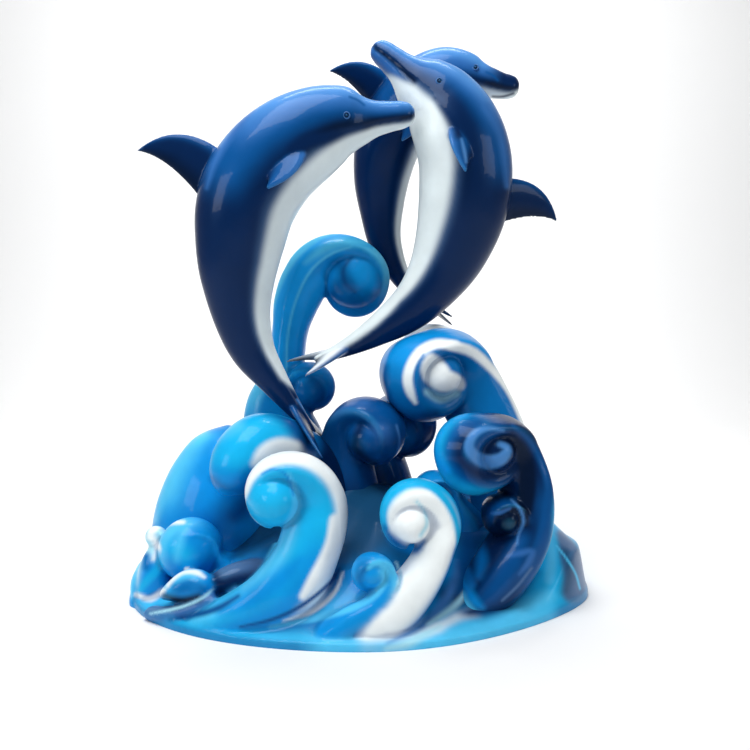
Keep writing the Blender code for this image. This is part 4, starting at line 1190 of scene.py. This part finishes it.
def hide_paint(t, lane, belly, coats, mouth):
    """Navy all over, the strokes, white below the belly line and a dark line in the mouth."""
    paint = np.broadcast_to(PALETTE["navy"], np.broadcast_shapes(t.shape, lane.shape) + (3,))
    for tint, run, way in coats:
        paint = spread(paint, tint, stroke(run, way, t, lane))
    rows = np.array(belly)
    edge = np.interp(t, rows[:, 0], rows[:, 1])
    paint = spread(paint, "slate", GREY_COVER * (1 - smooth(*GREY_EDGE, lane - edge)))
    paint = spread(paint, "belly", 1 - smooth(*WHITE_EDGE, lane - edge))
    return spread(paint, "night", MOUTH_COVER * mouth)


# %% A body
def body(t, centre, back, flank, half, bulges, mouth, belly, coats):
    """Closed body about its middle line, with the mouth pressed in and the hide painted.

    Point = centre + lane * half height * back + c * half width * flank, where lane and c go
    round the outline |c|^p + |lane|^p = 1, and the bulges are how far back and belly stand out.
    """
    turn = np.linspace(0, 2 * math.pi, BODY_SIDES, endpoint=False)
    c, s = np.cos(turn), np.sin(turn)
    c = np.sign(c) * np.abs(c) ** (2 / BODY_POWER)
    s = np.sign(s) * np.abs(s) ** (2 / BODY_POWER)
    lane = np.broadcast_to(s, (len(t), len(s)))
    tenths = np.broadcast_to(t[:, None] * 10, lane.shape)
    line = np.array(mouth)
    gape = np.abs(lane - np.interp(tenths, line[:, 0], line[:, 1]))
    corner = smooth(line[-1, 0] - 0.1, line[-1, 0] + 0.05, tenths)
    groove = (1 - smooth(0.2 * MOUTH_WIDTH, MOUTH_WIDTH, gape)) * (1 - corner)
    back_share, belly_share = bulges[:, 0, None], bulges[:, 1, None]
    proud = 1 + np.where(lane > 0, (back_share - 1) * lane, (1 - belly_share) * lane)
    inset = 1 - groove * MOUTH_DEPTH / (half[:, 1, None] + MOUTH_DEPTH)
    rings = (
        centre[:, None, :]
        + (half[:, 0, None] * lane * proud * inset)[:, :, None] * back[:, None, :]
        + (half[:, 1, None] * c * inset)[:, :, None] * flank[:, None, :]
    )
    return skin(rings, hide_paint(tenths, lane, belly, coats, groove))


# %% The fins of a dolphin
def back_fin(girths, p, away, b, f, scale):
    """Fin upright on the back, raked toward the tail."""
    chord, height = DORSAL_FIN_CHORD * scale, DORSAL_FIN_HEIGHT * scale
    root = p + b * (girths[0] - DORSAL_FIN_SINK)
    return fin(
        front=root,
        back=root + away * chord,
        tip=root + away * DORSAL_FIN_SWEEP * scale + b * height,
        front_bulge=root - away * 0.012 + b * height * 0.80,
        back_bulge=root + away * chord * 0.72 + b * height * 0.62,
        normal=f,
        thickness=FIN_THICKNESS,
        tints=("royal", "navy", "night"),
    )


def flipper(girths, p, away, b, f, scale, hand, drop):
    """Fin out and down from the flank on one hand, turned a little about its own length."""
    reach, chord = FLIPPER_LENGTH * scale, FLIPPER_CHORD * scale
    out = hand * f * math.cos(FLIPPER_TILT) - b * math.sin(FLIPPER_TILT)
    root = p + hand * f * (girths[1] - FLIPPER_SINK) - b * girths[0] * drop
    twist = b * FLIPPER_TWIST * scale
    return fin(
        front=root - twist,
        back=root + away * chord + twist,
        tip=root + out * reach * 0.58 + away * reach * 0.92,
        front_bulge=root + out * reach * 0.66 + away * reach * 0.22 - twist,
        back_bulge=root + away * chord * 1.02 + out * reach * 0.14 + twist,
        normal=unit(np.cross(out, away)),
        thickness=FIN_THICKNESS,
        # The lighter front edge is a painted highlight.
        tints=("haze", "royal", "navy"),
    )


def fluke(p, away, b, f, scale, tint):
    """One lobe of the tail, out along f and swept back."""
    span, stock = FLUKE_SPAN * scale, FLUKE_CHORD * scale
    return fin(
        front=p - away * stock - f * FLUKE_SINK,
        back=p - f * FLUKE_SINK,
        tip=p + away * FLUKE_SWEEP * scale + f * span,
        front_bulge=p - away * stock * 0.35 + f * span * 0.62,
        back_bulge=p + away * 0.01 + f * span * 0.40,
        normal=b,
        thickness=FLUKE_THICKNESS,
        tints=("royal", tint, "night"),
    )


# %% A dolphin
def dolphin(spine, side, girth, fin_place, flipper_drop, mouth, belly, eye, fluke_tint, coats,
            beak=1.0, flipper_lead=0.0):
    """Body, back fin, two flippers and two fluke lobes, and where the eyes go.

    The outline's sizes are shares of the length. The beak has its own share of their girth.
    """
    share, centre, tailward, back, flank = body_frames(spine, side, BODY_STATIONS)
    t = share * OUTLINE[-1, 0]
    length = along(centre)[-1] / OUTLINE[-1, 0]
    rows = spline(OUTLINE[:, 0], OUTLINE[:, 1:], t)
    stout = 1 + (beak - 1) * (1 - smooth(BEAK_END, BROW_START, t))
    half = rows[:, :2] * length * girth * stout[:, None]
    scale = length / COMMON_LENGTH

    def at(place):
        """Half sizes, centre and axes at the station nearest to a share of the length."""
        i = int(np.argmin(np.abs(share - place)))
        return half[i], centre[i], tailward[i], back[i], flank[i]

    parts = [
        body(t, centre, back, flank, half, rows[:, 2:], mouth, belly, coats),
        back_fin(*at(fin_place), scale),
    ]
    for hand in (-1, 1):
        parts.append(flipper(*at(FLIPPER_PLACE - flipper_lead), scale, hand, flipper_drop))
        parts.append(fluke(centre[-1], tailward[-1], back[-1], hand * flank[-1], scale, fluke_tint))
    return parts, eye_places(half, share, centre, back, flank, eye)


# %% Places of the eyes
def eye_places(half, share, centre, back, flank, eye):
    """Where the eyes sit and which way they look: the outline's point and its outward normal."""
    i = int(np.argmin(np.abs(share * OUTLINE[-1, 0] - eye[0])))
    lane = eye[1]
    c = (1 - abs(lane) ** BODY_POWER) ** (1 / BODY_POWER)
    found = []
    for hand in (-1, 1):
        place = centre[i] + half[i, 0] * lane * back[i] + half[i, 1] * hand * c * flank[i]
        normal = unit(lane / half[i, 0] * back[i] + hand * c / half[i, 1] * flank[i])
        found.append((place, normal, back[i]))
    return found


# %% Free strokes on the dolphins
LEAPER_FREE_STROKES = dict(
    left_leaper=(
        # The haze and steel strokes are painted highlights along the left dolphin's shoulder.
        ("haze", 13, (-400, -20), (-340, 1640, 6), (-410, 1555, 10), (-460, 1475, 10), (-485, 1395, 3)),
        ("steel", 10, (-400, -20), (-355, 1635, 3), (-405, 1580, 5), (-440, 1525, 3)),
        ("navy", 16, (-400, -20), (115, 1610, 3), (20, 1585, 5), (-40, 1570, 10), (-105, 1550, 19),
            (-165, 1540, 23), (-215, 1515, 16)),
        # The steel line is a painted highlight along the tail stock.
        ("steel", 5, (-400, 100), (-205, 720, 3), (-165, 665, 4), (-125, 610, 4), (-80, 550, 3)),
        # The royal line is painted shade in the crease between forehead and beak.
        ("royal", 5, (-400, 100), (-35, 1675, 3), (-10, 1665, 3), (10, 1650, 3)),
    ),
    middle_leaper=(
        ("night", 5, (-400, 160), (45, 1820, 3), (85, 1795, 3), (130, 1760, 3), (165, 1725, 3)),
        ("navy", 16, (-400, 120), (235, 1670, 6), (265, 1640, 16), (295, 1600, 19), (305, 1560, 13)),
        ("haze", 13, (-400, 140), (390, 1645, 10), (430, 1575, 10), (450, 1490, 10), (460, 1400, 6)),
        ("steel", 6, (-400, 120), (315, 1545, 3), (325, 1505, 5), (330, 1475, 3)),
    ),
    rear_leaper=(
        ("night", 5, (0, 340), (410, 1675, 3), (440, 1675, 3), (475, 1685, 3)),
        ("royal", 5, (0, 340), (390, 1750, 3), (410, 1740, 3), (425, 1725, 3)),
    ),
)
print({name: len(rows) for name, rows in LEAPER_FREE_STROKES.items()}, "free strokes")

# %% Cast the dolphins
leapers, eyes = {}, []
for name, record in DOLPHINS.items():
    forms, places = dolphin(**record)
    eyes.extend(places)
    leapers[name] = casting(name, forms, LEAPER_FREE_STROKES[name], grain=LEAPER_GRAIN)

# %% [markdown]
# ## True height
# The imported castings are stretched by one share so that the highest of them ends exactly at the
# stated height. The finer skins here get the same share, worked out from the frame's own box.

# %% Match the height
drawn_top = max(vert.co.z for piece in leapers.values() for vert in piece.data.vertices)
height_share = cad_high[2] / drawn_top
for piece in (*waves, *leapers.values()):
    piece.data.transform(Matrix.Diagonal((1.0, 1.0, height_share, 1.0)))
print("drawn top", round(drawn_top, 4), "share", round(height_share, 5))

# %% [markdown]
# ## Eyes
# Each eye is a small raised ring with a dark glassy bead inside, moulded with the head and picked
# out with a brush. It is a profile of height against radius, turned about the eye's own axis.

# %% The eyes
# Radius, height above the hide and tint, from the rim of the ring to the top of the bead.
EYE_PROFILE = (
    (0.0165, -0.006, "haze"),
    (0.0155, 0.0010, "haze"),
    (0.0130, 0.0040, "slate"),
    (0.0105, 0.0035, "royal"),
    (0.0090, 0.0005, "night"),
    (0.0080, 0.0020, "night"),
    (0.0060, 0.0050, "night"),
    (0.0030, 0.0066, "teal"),
    (0.0004, 0.0070, "teal"),
)
# The profile is drawn at this share of its size.
EYE_SIZE = 0.8
EYE_SIDES = 32


def eye_form(place, normal, back, size):
    """Rings of the profile about the normal, closed behind and at the top of the bead."""
    first = unit(np.cross(normal, back))
    second = np.cross(normal, first)
    turn = np.linspace(0, 2 * math.pi, EYE_SIDES, endpoint=False)
    round_ring = np.cos(turn)[:, None] * first + np.sin(turn)[:, None] * second
    radius = np.array([row[0] for row in EYE_PROFILE]) * size
    height = np.array([row[1] for row in EYE_PROFILE]) * size
    rings = place + radius[:, None, None] * round_ring + height[:, None, None] * normal
    tints = np.array([PALETTE[row[2]] for row in EYE_PROFILE])
    paint = np.broadcast_to(tints[:, None, :], rings.shape)
    return skin(rings, paint)


eye_beads = as_object("eyes", [eye_form(*place, EYE_SIZE) for place in eyes])
eye_beads.data.transform(Matrix.Diagonal((1.0, 1.0, height_share, 1.0)))
shade_smooth(eye_beads.data)
print(len(eyes), "eyes")

# %% [markdown]
# ## Gel coat
# The finish is a clear polyester gel coat over airbrushed enamel: a glossy, slightly wavy film with
# fine orange peel. The paint comes from each casting's own colours. Noise in the object's own
# coordinates gives the uneven spray and the faint waviness of hand-laid laminate.
# Among the colours are painted shade in the hollows and painted highlights and reflections.

# %% The node helper
def add_node(tree, kind, settings=None, links=None):
    """Add a node, set its properties and socket values, and link named sockets to outputs."""
    node = tree.nodes.new(kind)
    for key, value in (settings or {}).items():
        if key in node.inputs:
            node.inputs[key].default_value = value
        else:
            setattr(node, key, value)
    for key, output in (links or {}).items():
        tree.links.new(output, node.inputs[key])
    return node


# %% The gel coat
# Widths in millimetres of the clouds of spray, the waves of the laminate and the orange peel, which
# is drawn coarser than it is so that it shows.
CLOUD_WIDTH = 111.1
WAVINESS_WIDTH = 45.45
PEEL_WIDTH = 2.857


def noise(tree, place, width, detail):
    """Cloudy noise whose scale is a metre over the clouds' width in millimetres."""
    settings = {"Scale": 1000 / width, "Detail": detail}
    return add_node(tree, "ShaderNodeTexNoise", settings, {"Vector": place}).outputs["Fac"]


def gel_coat(name, roughness, coat_roughness, uneven):
    """Airbrushed enamel under a clear polyester gel coat: a wet shine over soft-edged colours.

    The IOR of the resin is about 1.5. The spray is uneven by the given share of its lightness.
    """
    material = bpy.data.materials.new(name)
    material.use_nodes = True
    tree = material.node_tree
    shader = tree.nodes["Principled BSDF"]
    place = add_node(tree, "ShaderNodeTexCoord").outputs["Object"]
    paint = add_node(tree, "ShaderNodeAttribute", {"attribute_name": "paint"})
    lift = add_node(
        tree,
        "ShaderNodeMapRange",
        {"From Min": 0.3, "From Max": 0.7, "To Min": 1 - uneven, "To Max": 1 + uneven},
        {"Value": noise(tree, place, CLOUD_WIDTH, 4.0)},
    )
    tinted = add_node(
        tree,
        "ShaderNodeHueSaturation",
        None,
        {"Color": paint.outputs["Color"], "Value": lift.outputs["Result"]},
    )
    waviness = add_node(
        tree,
        "ShaderNodeBump",
        {"Strength": 0.25, "Distance": 0.004},
        {"Height": noise(tree, place, WAVINESS_WIDTH, 2.0)},
    )
    surface = add_node(
        tree,
        "ShaderNodeBump",
        {"Strength": 0.12, "Distance": 0.0004},
        {"Height": noise(tree, place, PEEL_WIDTH, 1.0), "Normal": waviness.outputs["Normal"]},
    )
    tree.links.new(tinted.outputs["Color"], shader.inputs["Base Color"])
    tree.links.new(surface.outputs["Normal"], shader.inputs["Normal"])
    tree.links.new(waviness.outputs["Normal"], shader.inputs["Coat Normal"])
    shader.inputs["Roughness"].default_value = roughness
    shader.inputs["IOR"].default_value = 1.5
    shader.inputs["Specular IOR Level"].default_value = 0.2
    shader.inputs["Specular Tint"].default_value = (*linear("#7cb3f3"), 1)
    shader.inputs["Coat Weight"].default_value = 0.16
    shader.inputs["Coat Roughness"].default_value = coat_roughness
    return material


wave_gel_coat = gel_coat("airbrushed_wave_gel_coat", 0.32, 0.06, 0.07)
hide_gel_coat = gel_coat("airbrushed_hide_gel_coat", 0.30, 0.05, 0.06)
print("materials", wave_gel_coat.name, hide_gel_coat.name)

# %% Join the pieces to the frame
for piece in waves:
    piece.data.materials.append(wave_gel_coat)
    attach(piece, "root")
    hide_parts("wave_base")
for name, piece in leapers.items():
    piece.data.materials.append(hide_gel_coat)
    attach(piece, "root")
    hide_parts(name.replace("leaper", "dolphin"))
eye_beads.data.materials.append(hide_gel_coat)
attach(eye_beads, "root")
print("joined", [piece.name for piece in (*waves, *leapers.values(), eye_beads)])

# %% [markdown]
# ## Studio
# A pale sweep of paper runs under the sculpture and up behind it. A broad soft box above and in
# front gives the sheen along the dolphins' backs, and weaker ones fill the sides.

# %% Paper sweep
PAPER_FRONT = -9.0
PAPER_BACK = 3.5
PAPER_BEND = 2.5
PAPER_TOP = 9.0
PAPER_SIDE = 10.0
PAPER_COLUMNS = 9


def sweep():
    """Profile carried sideways: a flat floor, a quarter circle and an upright back."""
    turn = np.linspace(-math.pi / 2, 0, 24)
    bend = PAPER_BACK + PAPER_BEND * np.cos(turn)
    y = np.concatenate([[PAPER_FRONT, PAPER_BACK], bend, [PAPER_BACK + PAPER_BEND]])
    z = np.concatenate([[0.0, 0.0], PAPER_BEND + PAPER_BEND * np.sin(turn), [PAPER_TOP]])
    x = np.linspace(-PAPER_SIDE, PAPER_SIDE, PAPER_COLUMNS)
    rows = np.stack([np.tile(x, (len(y), 1)), *(np.tile(v[:, None], len(x)) for v in (y, z))], axis=-1)
    i, j = np.meshgrid(np.arange(len(y) - 1), np.arange(len(x) - 1), indexing="ij")
    first = i * len(x) + j
    faces = np.stack([first, first + 1, first + len(x) + 1, first + len(x)], axis=-1)
    mesh = bpy.data.meshes.new("paper_sweep")
    mesh.from_pydata(rows.reshape(-1, 3).tolist(), [], faces.reshape(-1, 4).tolist())
    shade_smooth(mesh)
    return mesh


paper = bpy.data.materials.new("matt_paper")
paper.use_nodes = True
paper_shader = paper.node_tree.nodes["Principled BSDF"]
paper_shader.inputs["Base Color"].default_value = (*linear("#f7f7f7"), 1)
paper_shader.inputs["Roughness"].default_value = 0.9
floor = bpy.data.objects.new("paper_sweep", sweep())
scene.collection.objects.link(floor)
floor.data.materials.append(paper)
print("paper sweep", len(floor.data.polygons), "faces")


# %% Lights
def soft_box(name, place, target, size, power):
    """White square area light turned to face its target."""
    light = bpy.data.lights.new(name, "AREA")
    light.shape = "SQUARE"
    light.size = size
    light.energy = power
    item = bpy.data.objects.new(name, light)
    scene.collection.objects.link(item)
    item.location = place
    item.rotation_mode = "QUATERNION"
    away = np.array(place) - np.array(target)
    item.rotation_quaternion = Vector(away).to_track_quat("Z", "Y")


soft_box("overhead_box", (-0.8, -1.4, 4.6), (0.0, 0.0, 1.0), 2.6, 165)
soft_box("left_box", (-3.6, -2.6, 2.2), (0.0, 0.0, 0.9), 1.6, 45)
soft_box("right_box", (3.6, -2.2, 2.0), (0.0, 0.0, 0.9), 1.6, 30)
soft_box("backdrop_box", (0.0, 1.6, 4.8), (0.0, 5.6, 1.6), 2.4, 230)
print("lights", [light.name for light in bpy.data.lights])

# %% The air
world = bpy.data.worlds.new("studio_air")
scene.world = world
world.use_nodes = True
background = world.node_tree.nodes["Background"]
background.inputs["Color"].default_value = (*linear("#f6f8f9"), 1)
background.inputs["Strength"].default_value = 0.22
scene.view_settings.view_transform = "Standard"
print("view", scene.view_settings.view_transform)

# %% Bring the scene up to date
bpy.context.view_layer.update()
